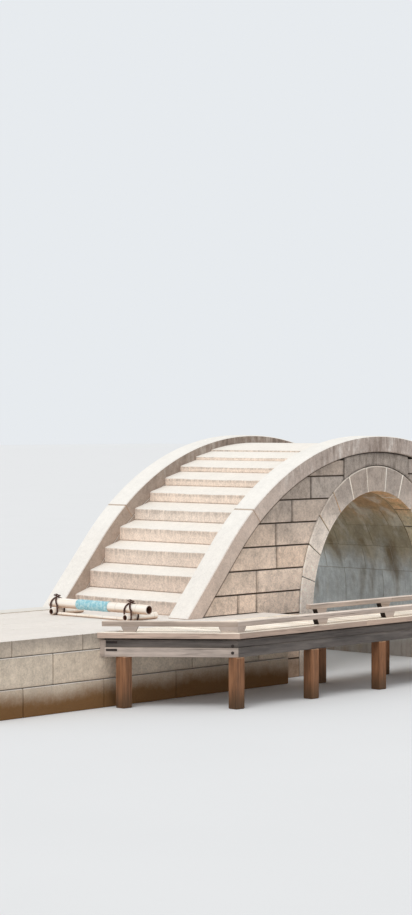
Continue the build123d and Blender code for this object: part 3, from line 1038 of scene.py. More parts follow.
@dataclass(frozen=True)
class ArchStones:
    """Rings of wedge stones at the faces and the barrel of the vault between them."""

    shape: HumpShape
    keystone_angle: float = math.radians(7.8)
    wedge_angle: float = math.radians(13.6)
    wedges_a_side: int = 5
    joint: float = 0.006
    barrel_joint: float = 0.002
    limed: int = 2
    arris: float = 0.013
    bed: float = 0.010
    lime_depth: float = 0.002
    earth_depth: float = 0.010
    jamb_joints: tuple[float, ...] = (0.62, 0.0)
    barrel_rows: int = 3
    barrel_stagger: float = 0.08
    set_back: float = 0.003
    seed: int = 11
    barrel_seed: int = 29

    def joints(self) -> list[float]:
        """Angles of the joints on one side of the crown."""
        return [self.keystone_angle + self.wedge_angle * n for n in range(self.wedges_a_side + 1)]

    def wedges(self, joint: float) -> list[list[Rib]]:
        """Outlines of all stones of a ring, from the keystone down both sides.

        Args:
            joint: Width of the joints.

        Returns:
            Ribs of each stone, in side view.
        """
        shape = self.shape
        gap = joint / 2 / shape.outer_rise
        angles = self.joints()
        reach = angles[0] - gap
        outlines = [[shape.wedge_rib(a) for a in spaced(-reach, reach, 8)]]
        for side in (-1, 1):
            for start, end in zip(angles, angles[1:]):
                turns = spaced(start + gap, end - gap, 6)
                outlines.append([shape.wedge_rib(side * turn) for turn in turns])
            turns = spaced(angles[-1] + gap, math.pi / 2, 5)
            springer = [shape.wedge_rib(side * turn) for turn in turns]
            outlines.append([*springer, shape.jamb_rib(side, self.jamb_joints[0] + joint / 2)])
            for high, low in zip(self.jamb_joints, self.jamb_joints[1:]):
                outlines.append([shape.jamb_rib(side, z) for z in (high - joint / 2, low)])
        return outlines

    def mortar(self) -> tuple[list[list[Rib]], list[list[Rib]]]:
        """Outlines of what fills the joints of a ring.

        Returns:
            Ribs of the pale joints at the crown, and of the dark ones lower down.
        """
        lime, earth = [], []
        half = self.joint / 2
        for side in (-1, 1):
            for number, angle in enumerate(self.joints()):
                limed = number < self.limed
                gap = (half + 1.1 * self.arris * limed) / self.shape.outer_rise
                ribs = [self.shape.wedge_rib(side * turn) for turn in (angle - gap, angle + gap)]
                (lime if limed else earth).append([narrowed(rib, 0.003) for rib in ribs])
            for z in self.jamb_joints[:-1]:
                earth.append([self.shape.jamb_rib(side, level) for level in (z - half, z + half)])
        return lime, earth

    def bedding(self) -> list[Rib]:
        """Outline of the bed between the ring and the wall, from foot to foot.

        Returns:
            Its ribs, in side view.
        """
        turns = spaced(-math.pi / 2, math.pi / 2, 64)
        ribs = [self.shape.wedge_rib(turn, self.bed) for turn in turns]
        span = self.shape.outer_half_span
        foot = ((-span, 0.0), (-span - self.bed, 0.0))
        return [foot, *ribs, *mirrored([foot], -1)]

    def build(self) -> None:
        """Build the rings and the barrel."""
        for face in Face:
            yard = Yard(self.seed + face.value)
            stones, pale, dark = Draft(yard), Draft(yard), Draft(yard)
            for ribs in self.wedges(self.joint):
                sides = self.shape.faces(face, abs(yard.slip(self.set_back)))
                stones.slab(ribs, *sides, self.arris, self.arris)
            sides = self.shape.faces(face)
            lime, earth = self.mortar()
            for ribs in lime:
                pale.filling(ribs, sides, self.lime_depth)
            for ribs in earth:
                dark.filling(ribs, sides, self.earth_depth)
            dark.filling(self.bedding(), sides, self.shape.bed_depth)
            node = f"{face.word}_arch_ring"
            stones.make(f"{node}_stones", RING, "ring_granite", [node])
            pale.make(f"{node}_lime", LIME, "ring_granite")
            dark.make(f"{node}_earth", EARTH, "ring_granite")
        self.barrel()

    def barrel(self) -> None:
        """Build the barrel of the vault, row by row."""
        draft = Draft(Yard(self.barrel_seed))
        near, far = self.shape.inside
        length = (far - near) / self.barrel_rows
        for number, ribs in enumerate(self.wedges(self.barrel_joint)):
            start = length if number % 2 else length / 2
            places = [near]
            while start < far - near - 0.2:
                places.append(near + start + draft.yard.slip(self.barrel_stagger))
                start += length
            places.append(far)
            half = self.barrel_joint / 2
            for low, high in zip(places, places[1:]):
                draft.slab(ribs, low + half, high - half, 0.004)
        draft.make("vault_stones", VAULT, "vault_stone", ["vault"])


@dataclass(frozen=True)
class WallStones:
    """Side walls in level courses, with one long stone over the crown."""

    shape: HumpShape
    course: float = 0.318
    lowest_bed: float = 0.267
    bed_joint: float = 0.018
    side_joint: float = 0.009
    ring_gap: float = 0.010
    kerb_gap: float = 0.010
    arris: float = 0.009
    thinnest: float = 0.03
    stagger: float = 0.16
    set_back: float = 0.005
    seed: int = 40
    uprights: tuple[tuple[float, ...], ...] = (
        (2.1,), (2.02,), (2.2,), (2.619, 2.996), (2.609,),
        (2.194,), (2.215,), (1.878,), (1.470,), (),
    )

    def reach_at(self, z: float) -> Flat:
        """Where a course begins and ends at a height, on the right half.

        Args:
            z: The height.

        Returns:
            Distances from the crown to the arch's ring and to the kerb.
        """
        ring = self.shape.ring_edge(z) + self.ring_gap
        inner = max(ring, self.shape.crown_stone_half + self.side_joint)
        return inner, max(inner, self.shape.kerb_seat(z) - 1.2 * self.kerb_gap)

    def beds(self) -> list[float]:
        """Heights of the bed joints.

        Returns:
            The heights, with the ground and the top of the wall.
        """
        top = self.shape.kerb_line(self.shape.crown_stone_half) - self.shape.kerb_depth
        heights = [0.0]
        level = self.lowest_bed
        while level < top:
            heights.append(level)
            level += self.course
        return [*heights, top]

    def stone(self, low: float, high: float, start: float, end: float) -> list[Rib]:
        """Outline of one stone of a course on the right half.

        Args:
            low: Its underside.
            high: Its top.
            start: Place where it begins at the earliest.
            end: Place where it ends at the latest.

        Returns:
            Its ribs in side view, none where the stone would be too thin.
        """
        ribs = []
        for z in spaced(low, high, 6):
            inner, outer = self.reach_at(z)
            left, right = max(inner, start), min(outer, end)
            if right - left > self.thinnest:
                ribs.append(((left, z), (right, z)))
        return ribs

    def build(self) -> None:
        """Build the four walls and the two stones over the crown."""
        for face in Face:
            for hand in Hand:
                self.wall(face, hand)
            self.crown_stone(face)

    def wall(self, face: Face, hand: Hand) -> None:
        """Build one wall.

        Args:
            face: Which face it stands in.
            hand: Which end of the bridge.
        """
        yard = Yard(self.seed + 3 * face.value + hand.value)
        stones, beds = Draft(yard), Draft(yard)
        heights = self.beds()
        measured = face is Face.NEAR and hand is Hand.LEFT
        half, gap = self.bed_joint / 2, self.side_joint / 2
        for number, (low, high) in enumerate(zip(heights, heights[1:])):
            slips = [0.0 if measured else yard.slip(self.stagger) for _ in self.uprights[number]]
            splits = [0.0, *map(sum, zip(self.uprights[number], slips)), 9.0]
            for start, end in zip(splits, splits[1:]):
                base = low + (half if number else 0)
                ribs = self.stone(base, high - half, start + gap, end - gap)
                if len(ribs) > 1:
                    sides = self.shape.faces(face, abs(yard.slip(self.set_back)))
                    stones.slab(mirrored(ribs, hand.value), *sides, self.arris)
            if number:
                ribs = []
                for z in (low - half, low + half):
                    inner, outer = self.reach_at(z)
                    ribs.append(((inner, z), (outer, z)))
                sides = self.shape.faces(face)
                beds.filling(mirrored(ribs, hand.value), sides, self.shape.bed_depth)
        node = f"{face.word}_{hand.word}_side_wall"
        stones.make(f"{node}_stones", WALL, "wall_granite", [node])
        beds.make(f"{node}_beds", EARTH, "wall_granite")

    def crown_stone(self, face: Face) -> None:
        """Build the long stone over the arch.

        Args:
            face: Which face it stands in.
        """
        shape = self.shape
        ribs = []
        for x in spaced(-shape.crown_stone_half, shape.crown_stone_half, 16):
            share = math.sqrt(1 - (x / shape.outer_half_span) ** 2)
            low = shape.spring + shape.outer_rise * share + self.ring_gap
            seat = math.sqrt((shape.kerb_radius - shape.kerb_depth) ** 2 - x**2)
            ribs.append(((x, low), (x, shape.kerb_centre + seat - self.kerb_gap)))
        draft = Draft()
        draft.slab(ribs, *shape.faces(face), self.arris, cut=Cut(-0.9, 0.2))
        node = f"{face.word}_crown_stone"
        draft.make(f"{node}_dressed", WALL, "wall_granite", [node])


@dataclass(frozen=True)
class KerbStones:
    """Long curved stones that edge the steps, three to an edge."""

    shape: HumpShape
    joint: float = 0.004
    arris: float = 0.012
    bed: float = 0.010
    lining: float = 0.12
    lining_thickness: float = 0.02
    lining_stand: float = 0.0007
    seed: int = 70

    def arc_rib(self, angle: float, low: float | None = None, high: float | None = None) -> Rib:
        """Two points at an angle from the crown of the kerb's curve, in side view.

        Args:
            angle: The angle.
            low: Radius of the first point, else the kerb's underside.
            high: Radius of the second point, else its top.

        Returns:
            The pair of points.
        """
        shape = self.shape
        radii = (low or shape.kerb_radius - shape.kerb_depth, high or shape.kerb_radius)
        turn = math.sin(angle), math.cos(angle)
        return tuple((radius * turn[0], shape.kerb_centre + radius * turn[1]) for radius in radii)

    def crown(self) -> list[Rib]:
        """Outline of the middle stone, in side view."""
        reach = self.shape.kerb_joint_angle - self.joint / 2 / self.shape.kerb_radius
        return [self.arc_rib(angle) for angle in spaced(-reach, reach, 48)]

    def leg(self) -> list[Rib]:
        """Outline of the right stone, from its joint to its foot.

        Returns:
            Its ribs, in side view.
        """
        shape = self.shape
        start = shape.kerb_joint_angle + self.joint / 2 / shape.kerb_radius
        ribs = [self.arc_rib(angle) for angle in spaced(start, shape.leg_angle, 6)]
        slope = math.tan(shape.leg_angle)
        ends = ribs[-1]
        feet = [(x + (z - shape.paving) / slope, shape.paving) for x, z in ends]
        for share in spaced(0, 1, 5)[1:]:
            ribs.append(
                tuple((a[0] + share * (b[0] - a[0]), a[1] + share * (b[1] - a[1]))
                      for a, b in zip(ends, feet))
            )
        return ribs

    def bedding(self, width: float) -> list[Rib]:
        """Outline of a bed under the kerbs, from foot to foot.

        Args:
            width: Width of the bed.

        Returns:
            Its ribs, in side view.
        """
        shape = self.shape
        radius = shape.kerb_radius - shape.kerb_depth
        sine, cosine = math.sin(shape.leg_angle), math.cos(shape.leg_angle)
        along = (shape.kerb_centre + radius * cosine - shape.paving) / sine
        turns = spaced(-shape.leg_angle, shape.leg_angle, 72)
        arc = [self.arc_rib(turn, radius, radius - width) for turn in turns]
        first, last = (
            tuple((x + side * along * cosine, z - along * sine) for x, z in rib)
            for side, rib in ((-1, arc[0]), (1, arc[-1]))
        )
        return [first, *arc, last]

    def build(self) -> None:
        """Build the six kerb stones, with their bed and the linings and joints between them."""
        shape = self.shape
        gap = (self.joint / 2 + 0.7 * self.arris) / shape.kerb_radius
        for face in Face:
            yard = Yard(self.seed + face.value)
            bed, lining, filling = Draft(yard), Draft(yard), Draft(yard)
            bed.filling(self.bedding(self.bed), shape.faces(face), shape.bed_depth)
            bed.make(f"{face.word}_kerb_bed", EARTH, "wall_granite")
            inner = shape.middle + face.value * shape.kerb_inner
            outer = shape.middle + face.value * shape.half_width
            depths = (self.lining_thickness, -self.lining_stand)
            sides = sorted(inner + face.value * depth for depth in depths)
            lining.slab(self.bedding(self.lining), *sides, HAIR / 2, HAIR)
            lining.make(f"{face.word}_kerb_lining", KERB, "kerb_granite")
            sides = sorted((inner, outer))
            for side in (-1, 1):
                turns = (shape.kerb_joint_angle - gap, shape.kerb_joint_angle + gap)
                ribs = [narrowed(self.arc_rib(side * turn), 0.004) for turn in turns]
                filling.filling(ribs, sides, 0.004)
            filling.make(f"{face.word}_kerb_joints", SAND, "kerb_granite")
            outlines = (mirrored(self.leg(), -1), self.crown(), self.leg())
            for part, ribs in zip(("left", "crown", "right"), outlines):
                draft = Draft(yard)
                draft.slab(ribs, *sides, self.arris, 0.02)
                node = f"{face.word}_{part}_kerb"
                draft.make(f"{node}_stone", KERB, "kerb_granite", [node])


@dataclass(frozen=True)
class StepStones:
    """Sloping treads with worn front edges, and the landing at the crown."""

    shape: HumpShape
    count: int = 9
    first_riser_from_foot: float = 0.314
    landing_half: float = 0.921
    run_growth: float = 0.0059
    slope_rise: float = 0.086
    lowest_drop: float = 0.165
    middle_drop: float = 0.203
    landing_drop: float = 0.114
    bed: float = 0.070
    nose: float = 0.016
    gap: float = 0.0015
    slot: float = 0.009
    landing_riser: float = 0.022
    wear: float = 0.006
    chips: float = 0.0025
    seed: int = 90

    def risers(self) -> list[float]:
        """Places of the risers on the right half.

        Returns:
            The places, from the lowest up to the landing's.
        """
        first = self.shape.kerb_foot - self.first_riser_from_foot
        mean = (first - self.landing_half) / self.count
        places = [self.landing_half]
        for number in range(self.count):
            places.append(places[-1] + mean + self.run_growth * ((self.count - 1) / 2 - number))
        return places[::-1]

    def edge_height(self, x: float) -> float:
        """Height of a step's front edge.

        Args:
            x: Place of its riser.

        Returns:
            The height.
        """
        places = self.risers()
        low, middle, high = places[0], places[len(places) // 2 - 1], places[-1]
        drops = (self.lowest_drop, self.middle_drop, self.landing_drop)
        heights = [self.shape.kerb_line(p) - drop for p, drop in zip((low, middle, high), drops)]
        lower = (heights[0] - heights[1]) / (low - middle)
        upper = (heights[1] - heights[2]) / (middle - high)
        bend = (lower - upper) / (low - high)
        return heights[1] + (x - middle) * (lower + bend * (x - low))

    def step(self, side: int, number: int, yard: Yard) -> Draft:
        """One step of a flight.

        Args:
            side: 1 for the right flight and -1 for the left.
            number: Its number from the lowest, from 1.
            yard: Where its cut comes from.

        Returns:
            The step's draft.
        """
        places = self.risers()
        front, back = places[number - 1], places[number]
        top = self.edge_height(front)
        rise = self.slope_rise
        if number == self.count:
            rise = self.edge_height(back) - self.landing_riser - top
        foot = bottom = self.shape.paving
        if number > 1:
            foot = self.edge_height(places[number - 2]) + self.slope_rise
            bottom = foot - self.bed
        nose, slot = min(self.nose, 0.13 * (top - foot)), min(self.slot, 0.07 * (top - foot))
        # Each point of the outline has its share of the wear and of the painted shade, which is
        # darkest just under the nose, fades down the riser and comes back in the slot at its foot.
        outline = [
            (front - slot, bottom, 0.0, 0.0),
            (front - slot, foot + slot, 0.0, 0.4),
            (front, foot + 1.5 * slot, 0.0, 0.15),
            (front, 0.5 * (foot + top), 0.0, 0.2),
            (front, top - 2.2 * nose, 0.0, 1.0),
            (front, top - nose, 0.6, 0.8),
            (front - 0.3 * nose, top - 0.35 * nose, 1.0, 0.2),
            (front - nose, top + 0.15 * nose, 1.0, 0.0),
            (front - 2.6 * nose, top + 0.7 * nose, 0.7, 0.0),
            (front - 0.4 * (front - back), top + 0.4 * rise, 0.25, 0.0),
            (front - 0.75 * (front - back), top + 0.75 * rise, 0.1, 0.0),
            (back + self.gap, top + rise, 0.0, 0.0),
            (back + self.gap, bottom, 0.0, 0.0),
        ]
        rings = []
        phase = yard.slip(9)
        near, far = self.shape.inside
        for share in spaced(0, 1, 28):
            y = near + self.gap + (far - near - 2 * self.gap) * share
            ripple = math.sin(17 * share + phase) + math.sin(41 * share + 2 * phase)
            wear = self.wear * math.sin(math.pi * share) ** 2 + self.chips * abs(ripple)
            if share in (0, 1):
                wear = 0.0
            rings.append([Vector((side * x, y, z - worn * wear)) for x, z, worn, _ in outline])
        draft = Draft(yard)
        draft.loft(rings, [0.4] + [0.0] * 27 + [0.4])
        # The painted shade under the nose is carried by the rim.
        nose_shade = [stain for *_, stain in outline] * len(rings)
        draft.rim = [max(rim, stain) for rim, stain in zip(draft.rim, nose_shade)]
        return draft

    def landing(self) -> Draft:
        """The slightly arched landing.

        Returns:
            Its draft.
        """
        bottom = self.edge_height(self.risers()[-2]) + self.slope_rise - self.bed
        edge = self.landing_half
        low = self.edge_height(edge)
        high = self.shape.crown_top - self.landing_drop
        nose = 0.15 * self.landing_riser
        top = spaced(-edge + nose, edge - nose, 16)
        outline = [(-edge, bottom), (-edge, low - nose)]
        outline += [(x, high - (high - low) * (x / edge) ** 2) for x in top]
        outline += [(edge, low - nose), (edge, bottom)]
        near, far = self.shape.inside
        places = spaced(near + self.gap, far - self.gap, 12)
        rings = [[Vector((x, y, z)) for x, z in outline] for y in places]
        draft = Draft()
        draft.loft(rings, [0.3] + [0.0] * 11 + [0.3], cut=Cut(0.2, 0.4))
        # The landing's short risers are darkened all over: painted shade under its edge.
        risers = [x in (-edge, edge) for x, _ in outline] * len(rings)
        draft.rim = [1.0 if riser else rim for rim, riser in zip(draft.rim, risers)]
        return draft

    def build(self) -> None:
        """Build both flights and the landing, and dress what they lie on."""
        for hand in Hand:
            yard = Yard(self.seed + hand.value)
            for number in range(1, self.count + 1):
                node = f"{hand.word}_step_{number}"
                slab = self.step(hand.value, number, yard)
                slab.make(f"{node}_slab", STEP, "step_granite", [node])
        self.landing().make("crown_landing_slab", STEP, "step_granite", ["crown_landing"])
        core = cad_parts["rubble_core"].data
        core.materials.clear()
        core.materials.append(RUBBLE.material())
        log.info("rubble_core: dressed as it is")


@dataclass(frozen=True)
class CausewayStones:
    """Coursed facing, coping and paving of the causeways, with the low border on top."""

    shape: HumpShape
    end: float = 8.0
    near_reach: float = 1.830
    facing: float = 0.30
    coping: float = 0.45
    beds: tuple[float, ...] = (0.0, 0.360, 0.745, 0.950)
    first_joints: tuple[float, ...] = (7.321, 6.829, 7.500)
    stone_length: float = 1.28
    joint: float = 0.010
    slab_rows: int = 4
    slab_length: float = 1.02
    first_slabs: Flat = (1.05, 0.6)
    border_height: float = 0.012
    border_joints: Flat = (5.1, 6.6)
    stagger: float = 0.18
    slab_stagger: float = 0.12
    sunk: float = 0.002
    seed: int = 110
    border_seed: int = 130

    def splits(self, number: int, yard: Yard) -> list[float]:
        """Places of the upright joints of a course, from the bridge outwards.

        Args:
            number: The course, from the lowest.
            yard: Where the small differences come from.

        Returns:
            The joints with both ends.
        """
        places = [self.end, self.first_joints[number]]
        while places[-1] - self.stone_length > self.shape.leg_end + 0.4:
            places.append(places[-1] - self.stone_length + yard.slip(self.stagger))
        return sorted([*places, self.shape.leg_end])

    def run(self, draft: Draft, side: int, splits: Sequence[float], y: Flat, z: Flat) -> None:
        """Row of stones along the bridge.

        Args:
            draft: Where the stones are added.
            side: 1 for the right causeway and -1 for the left.
            splits: Places of the joints.
            y: Near and far side of the row.
            z: Underside and top of the row.
        """
        half = self.joint / 2
        for start, end in zip(splits, splits[1:]):
            left = start + (half if start > splits[0] else 0)
            right = end - (half if end < splits[-1] else 0)
            draft.block(swung((left, right), side), y, z)

    def build(self) -> None:
        """Build both causeways and their borders."""
        shape = self.shape
        borders = Draft(Yard(self.border_seed))
        ends = (shape.kerb_foot, *self.border_joints, self.end)
        y = (shape.inside[1], shape.middle + shape.half_width)
        z = (shape.paving, shape.paving + self.border_height)
        for hand in Hand:
            self.causeway(hand)
            for start, end in zip(ends, ends[1:]):
                borders.block(swung((start + 0.002, end - 0.001), hand.value), y, z, 0.004, 0.02)
        borders.make("causeway_border_stones", BORDER, "border_granite", ["causeway_borders"])

    def causeway(self, hand: Hand) -> None:
        """Build one causeway.

        Args:
            hand: Which end of the bridge.
        """
        shape, side = self.shape, hand.value
        near, far = shape.middle - self.near_reach, shape.middle + shape.half_width
        yard = Yard(self.seed + side)
        facing, paving, core = Draft(yard), Draft(yard), Draft()
        gap = self.joint / 2
        for number, (low, high) in enumerate(zip(self.beds, self.beds[1:])):
            z = (low + (gap if number else 0), high - (gap if number < 2 else 0))
            depth = self.facing if number < 2 else self.coping
            for y in ((near, near + depth), (far - depth, far)):
                self.run(facing, side, self.splits(number, yard), y, z)
            rows = spaced(near + depth + gap, far - depth - gap, 2)
            for x in ((shape.leg_end, shape.leg_end + depth), (self.end - depth, self.end)):
                for start, stop in zip(rows, rows[1:]):
                    facing.block(swung(x, side), (start, stop - gap), z)
        self.slabs(paving, side, near + self.coping, far - self.coping)
        inset = self.facing + gap
        x = swung((shape.leg_end + inset, self.end - inset), side)
        z = (0.0, self.beds[-2] - gap)
        core.block(x, (near + inset, far - inset), z, 0.004, 0.01, cut=Cut())
        name = f"{hand.word}_causeway"
        facing.make(f"{name}_facing", FACING, "causeway_granite", [name])
        paving.make(f"{name}_paving", PAVING, "causeway_granite")
        core.make(f"{name}_fill", RUBBLE, "rubble")

    def slabs(self, draft: Draft, side: int, near: float, far: float) -> None:
        """Paving slabs in rows along the bridge.

        Args:
            draft: Where the slabs are added.
            side: 1 for the right causeway and -1 for the left.
            near: Near side of the paved strip.
            far: Far side of the paved strip.
        """
        gap = self.joint / 2
        start, stop = self.shape.leg_end + self.coping, self.end - self.coping
        rows = spaced(near, far, self.slab_rows)
        for number, (low, high) in enumerate(zip(rows, rows[1:])):
            places = [start, start + self.first_slabs[number % 2]]
            while places[-1] < stop - 1.2:
                places.append(places[-1] + self.slab_length + draft.yard.slip(self.slab_stagger))
            places.append(stop)
            for left, right in zip(places, places[1:]):
                x, y = swung((left + gap, right - gap), side), (low + gap, high - gap)
                z = (self.beds[-2], self.beds[-1] - abs(draft.yard.slip(self.sunk)))
                draft.block(x, y, z, 0.005)


@dataclass(frozen=True)
class WalkShape:
    """Lines that the timber walk and its rails share."""

    middle: float
    start: float = 6.085
    corner: float = 4.950
    reach: float = 3.210
    wall: float = 1.830
    inner_reach: float = 1.960
    inner_end: float = 2.460
    paving: float = 0.950
    board_depth: float = 0.072
    bay: float = 1.389
    bays: int = 7
    splay_post: float = 0.148
    splay_block: float = 0.19
    block_lead: float = 0.193

    @property
    def turn(self) -> float:
        """Angle of the splay against the bridge."""
        return math.atan2(self.reach - self.wall, self.start - self.corner)

    @property
    def deck_bottom(self) -> float:
        """Underside of the boards."""
        return self.paving - self.board_depth

    def line(self, inset: float) -> list[Flat]:
        """Corners of the outer edge moved inwards, from the left start to the right one.

        Args:
            inset: How far to move.

        Returns:
            Four points in plan.
        """
        corner = self.corner - inset * math.tan(self.turn / 2)
        start = self.start - inset / math.sin(self.turn)
        reach = self.middle - self.reach + inset
        wall = self.middle - self.wall
        return [(-start, wall), (-corner, reach), (corner, reach), (start, wall)]

    def near_edge(self, x: float, inset: float) -> float:
        """Place across the bridge of the outer edge, moved inwards.

        Args:
            x: Place along the bridge.
            inset: How far the edge is moved.

        Returns:
            The place across the bridge.
        """
        start, corner = self.line(inset)[:2]
        if abs(x) <= -corner[0]:
            return corner[1]
        share = (abs(x) + corner[0]) / (corner[0] - start[0])
        return corner[1] + share * (start[1] - corner[1])

    def bay_places(self) -> list[float]:
        """Places of posts, cross beams and blocks along the straight run."""
        return [self.bay * (number - self.bays / 2) for number in range(1, self.bays)]

    def block_places(self) -> list[float]:
        """Places of the outer rail's blocks along the straight run."""
        return [place - math.copysign(self.block_lead, place) for place in self.bay_places()]

    def splay_place(self, inset: float, share: float) -> Flat:
        """Place on the left splay, set in from its edge, at a share of the way to the corner."""
        start, corner = self.line(inset)[:2]
        return tuple(a + share * (b - a) for a, b in zip(start, corner))


@dataclass(frozen=True)
class TimberWalk:
    """Boards, beams and posts of the walk."""

    shape: WalkShape
    board_width: float = 0.182
    board_gap: float = 0.006
    edge_board: float = 0.145
    beam_setback: float = 0.040
    beam_width: float = 0.120
    beam_depth: float = 0.234
    upper_beam: float = 0.117
    upper_setback: float = 0.018
    shadow_depth: float = 0.024
    shadow_setback: float = 0.055
    end_length: float = 0.058
    end_stand: float = 0.003
    cross_width: float = 0.140
    cross_depth: float = 0.160
    post_side: float = 0.150
    arris: float = 0.004
    shortest: float = 0.02
    sunk: float = 0.002
    bolt_drops: Flat = (0.094, 0.178)
    bolt_from_corner: float = 0.075
    bolt_radii: tuple[float, ...] = (0.020, 0.020, 0.013)
    bolt_stands: tuple[float, ...] = (-0.002, 0.006, 0.010)
    cramp_drops: Flat = (0.055, 0.150)
    cramp_ends: Flat = (0.075, 0.215)
    cramp_width: float = 0.028
    cramp_stand: float = 0.004
    board_seed: int = 150
    beam_seed: int = 160
    post_seed: int = 170
    iron_seed: int = 180

    @property
    def beam_line(self) -> float:
        """Distance from the edge to the middle of its beam."""
        return self.beam_setback + self.beam_width / 2

    def build(self) -> None:
        """Build the walk."""
        for part in (self.boards, self.beams, self.posts, self.irons):
            part()

    def planks(self, draft: Draft, x: Flat, far: float, inner_edge: bool) -> None:
        """Boards across the walk between two places.

        Args:
            draft: Where the boards are added.
            x: Left and right end of the stretch.
            far: Far side of the stretch.
            inner_edge: Whether an edge board closes the far side.
        """
        shape = self.shape
        inset = self.edge_board + self.board_gap
        stop = far - (inset if inner_edge else 0)
        places = spaced(*x, round((x[1] - x[0]) / self.board_width))
        for start, end in zip(places, places[1:]):
            sides = (start + self.board_gap / 2, end - self.board_gap / 2)
            ribs = [((side, shape.near_edge(side, inset)), (side, stop)) for side in sides]
            if min(b[1] - a[1] for a, b in ribs) >= self.shortest:
                top = shape.paving - abs(draft.yard.slip(self.sunk))
                draft.slab(ribs, shape.deck_bottom, top, self.arris, 0.01, ACROSS, Layout.PLAN)

    def boards(self) -> None:
        """Build the boards of the three stretches."""
        shape = self.shape
        z = (shape.deck_bottom, shape.paving)
        outer, inner = shape.line(0), shape.line(self.edge_board)
        first = shape.start - (self.edge_board + self.board_gap) / math.sin(shape.turn)
        for hand in Hand:
            draft = Draft(Yard(self.board_seed + hand.value))
            stretch = swung((shape.inner_end, first), hand.value)
            self.planks(draft, stretch, shape.middle - shape.wall, False)
            corners = (3, 2) if hand is Hand.RIGHT else (0, 1)
            start, turn = ((outer[number], inner[number]) for number in corners)
            seam = hand.value * shape.inner_end
            draft.plank([start, turn], z, self.arris)
            draft.plank([turn, ((seam, outer[1][1]), (seam, inner[1][1]))], z, self.arris)
            name = f"{hand.word}_walk_boards"
            draft.make(f"{name}_laid", BOARDS, "walk_boards", [name])
        draft = Draft(Yard(self.board_seed + 3))
        stretch = (-shape.inner_end, shape.inner_end)
        far = shape.middle - shape.inner_reach
        self.planks(draft, stretch, far, True)
        for near, back in ((outer[1][1], inner[1][1]), (far, far - self.edge_board)):
            draft.plank([((x, near), (x, back)) for x in stretch], z, self.arris)
        draft.make("middle_walk_boards_laid", BOARDS, "walk_boards", ["middle_walk_boards"])

    def beams(self) -> None:
        """Build the outer beams, the inner beam and the cross beams."""
        shape, yard = self.shape, Yard(self.beam_seed)
        top = shape.deck_bottom
        ledge, seam = top - self.shadow_depth, top - self.upper_beam
        bottom = top - self.beam_depth
        pale, dark, ends, single, across = (Draft(yard) for _ in range(5))
        back = self.beam_setback + self.beam_width
        inner = shape.line(back)
        levels = ((ledge, top, self.shadow_setback), (seam, ledge, self.upper_setback))
        for low, high, setback in (*levels, (bottom, seam, 0.0)):
            turns = list(zip(shape.line(self.beam_setback + setback), inner))
            for number in range(3):
                draft = pale if low == bottom and number != 1 else dark
                draft.plank(turns[number : number + 2], (low, high), self.arris)
        for side in (-1, 1):
            corners = []
            for inset in (self.beam_setback - self.end_stand, back):
                start, corner = shape.line(inset)[:2]
                corners.append((start, toward(start, corner, self.end_length)))
            ends.plank(mirrored(list(zip(*corners)), -side), (bottom, ledge), self.arris)
        far = shape.middle - shape.inner_reach - self.beam_setback
        near = far - self.beam_width
        for z in ((seam, top), (bottom, seam)):
            single.block((-shape.inner_end, shape.inner_end), (near, far), z, self.arris, 0.01)
        inside = shape.middle - shape.reach + back
        half = self.cross_width / 2
        centre = -shape.line(self.beam_line)[1][0] - self.post_side / 2 - half
        for place in [*shape.bay_places(), -centre, centre]:
            stop = near if abs(place) < shape.inner_end else shape.middle - shape.wall
            x, z = (place - half, place + half), (top - self.cross_depth, top)
            across.block(x, (inside, stop), z, self.arris, 0.01, ACROSS)
        pale.make("outer_beams_lit", BEAMS, "weathered_beam", ["outer_beams"])
        dark.make("outer_beams_shaded", DARK_BEAMS, "weathered_beam")
        ends.make("outer_beams_ends", RAILS, "weathered_beam")
        single.make("inner_beam_hewn", DARK_BEAMS, "weathered_beam", ["inner_beam"])
        across.make("cross_beams_hewn", DARK_BEAMS, "weathered_beam", ["cross_beams"])

    def post(self, draft: Draft, x: float, y: float) -> None:
        """Square post at a place in plan.

        Args:
            draft: Where it is added.
            x: Its middle along the bridge.
            y: Its middle across the bridge.
        """
        half = self.post_side / 2
        ribs = [((end, y - half), (end, y + half)) for end in (x - half, x + half)]
        top = self.shape.deck_bottom - self.beam_depth
        draft.slab(ribs, 0.0, top, 0.01, 0.02, UP, Layout.PLAN)

    def posts(self) -> None:
        """Build all posts."""
        shape = self.shape
        draft = Draft(Yard(self.post_seed))
        corner = shape.line(self.beam_line)[1]
        for place in shape.bay_places():
            self.post(draft, place, corner[1])
            if abs(place) < shape.inner_end:
                self.post(draft, place, shape.middle - shape.inner_reach - self.beam_line)
        for side in (1, -1):
            for x, y in (shape.splay_place(self.beam_line, shape.splay_post), corner):
                self.post(draft, side * x, y)
        draft.make("walk_posts_hewn", POSTS, "post_timber", ["walk_posts"])

    def irons(self) -> None:
        """Build the bolt heads near the corners and the cramps at the beams' ends."""
        deck = self.shape.deck_bottom
        draft = Draft(Yard(self.iron_seed))
        start, corner = (Vector((*flat, 0)) for flat in self.shape.line(self.beam_setback)[:2])
        along = (corner - start).normalized()
        outward = Vector((along.y, -along.x, 0))
        setbacks = (self.upper_setback, 0.0)
        for side in (-1, 1):
            for drop, setback in zip(self.bolt_drops, setbacks):
                base = corner - along * self.bolt_from_corner - outward * setback
                base.z = deck - drop
                path = [base + outward * stand for stand in self.bolt_stands]
                path = [Vector((-side * x, y, z)) for x, y, z in path]
                draft.rod(path, self.bolt_radii, [0, 0.5, 0], 12)
            for drop, setback in zip(self.cramp_drops, setbacks):
                stops = []
                for reach in self.cramp_ends:
                    base = start + along * reach - outward * setback
                    stops.append((base.xy, (base + outward * self.cramp_stand).xy))
                low, high = (deck - drop + sign * self.cramp_width / 2 for sign in (-1, 1))
                cramp = mirrored(stops, -side)
                draft.slab(cramp, low, high, HAIR, HAIR, along, Layout.PLAN)
        draft.make("beam_irons", BOLT, "weathered_beam")


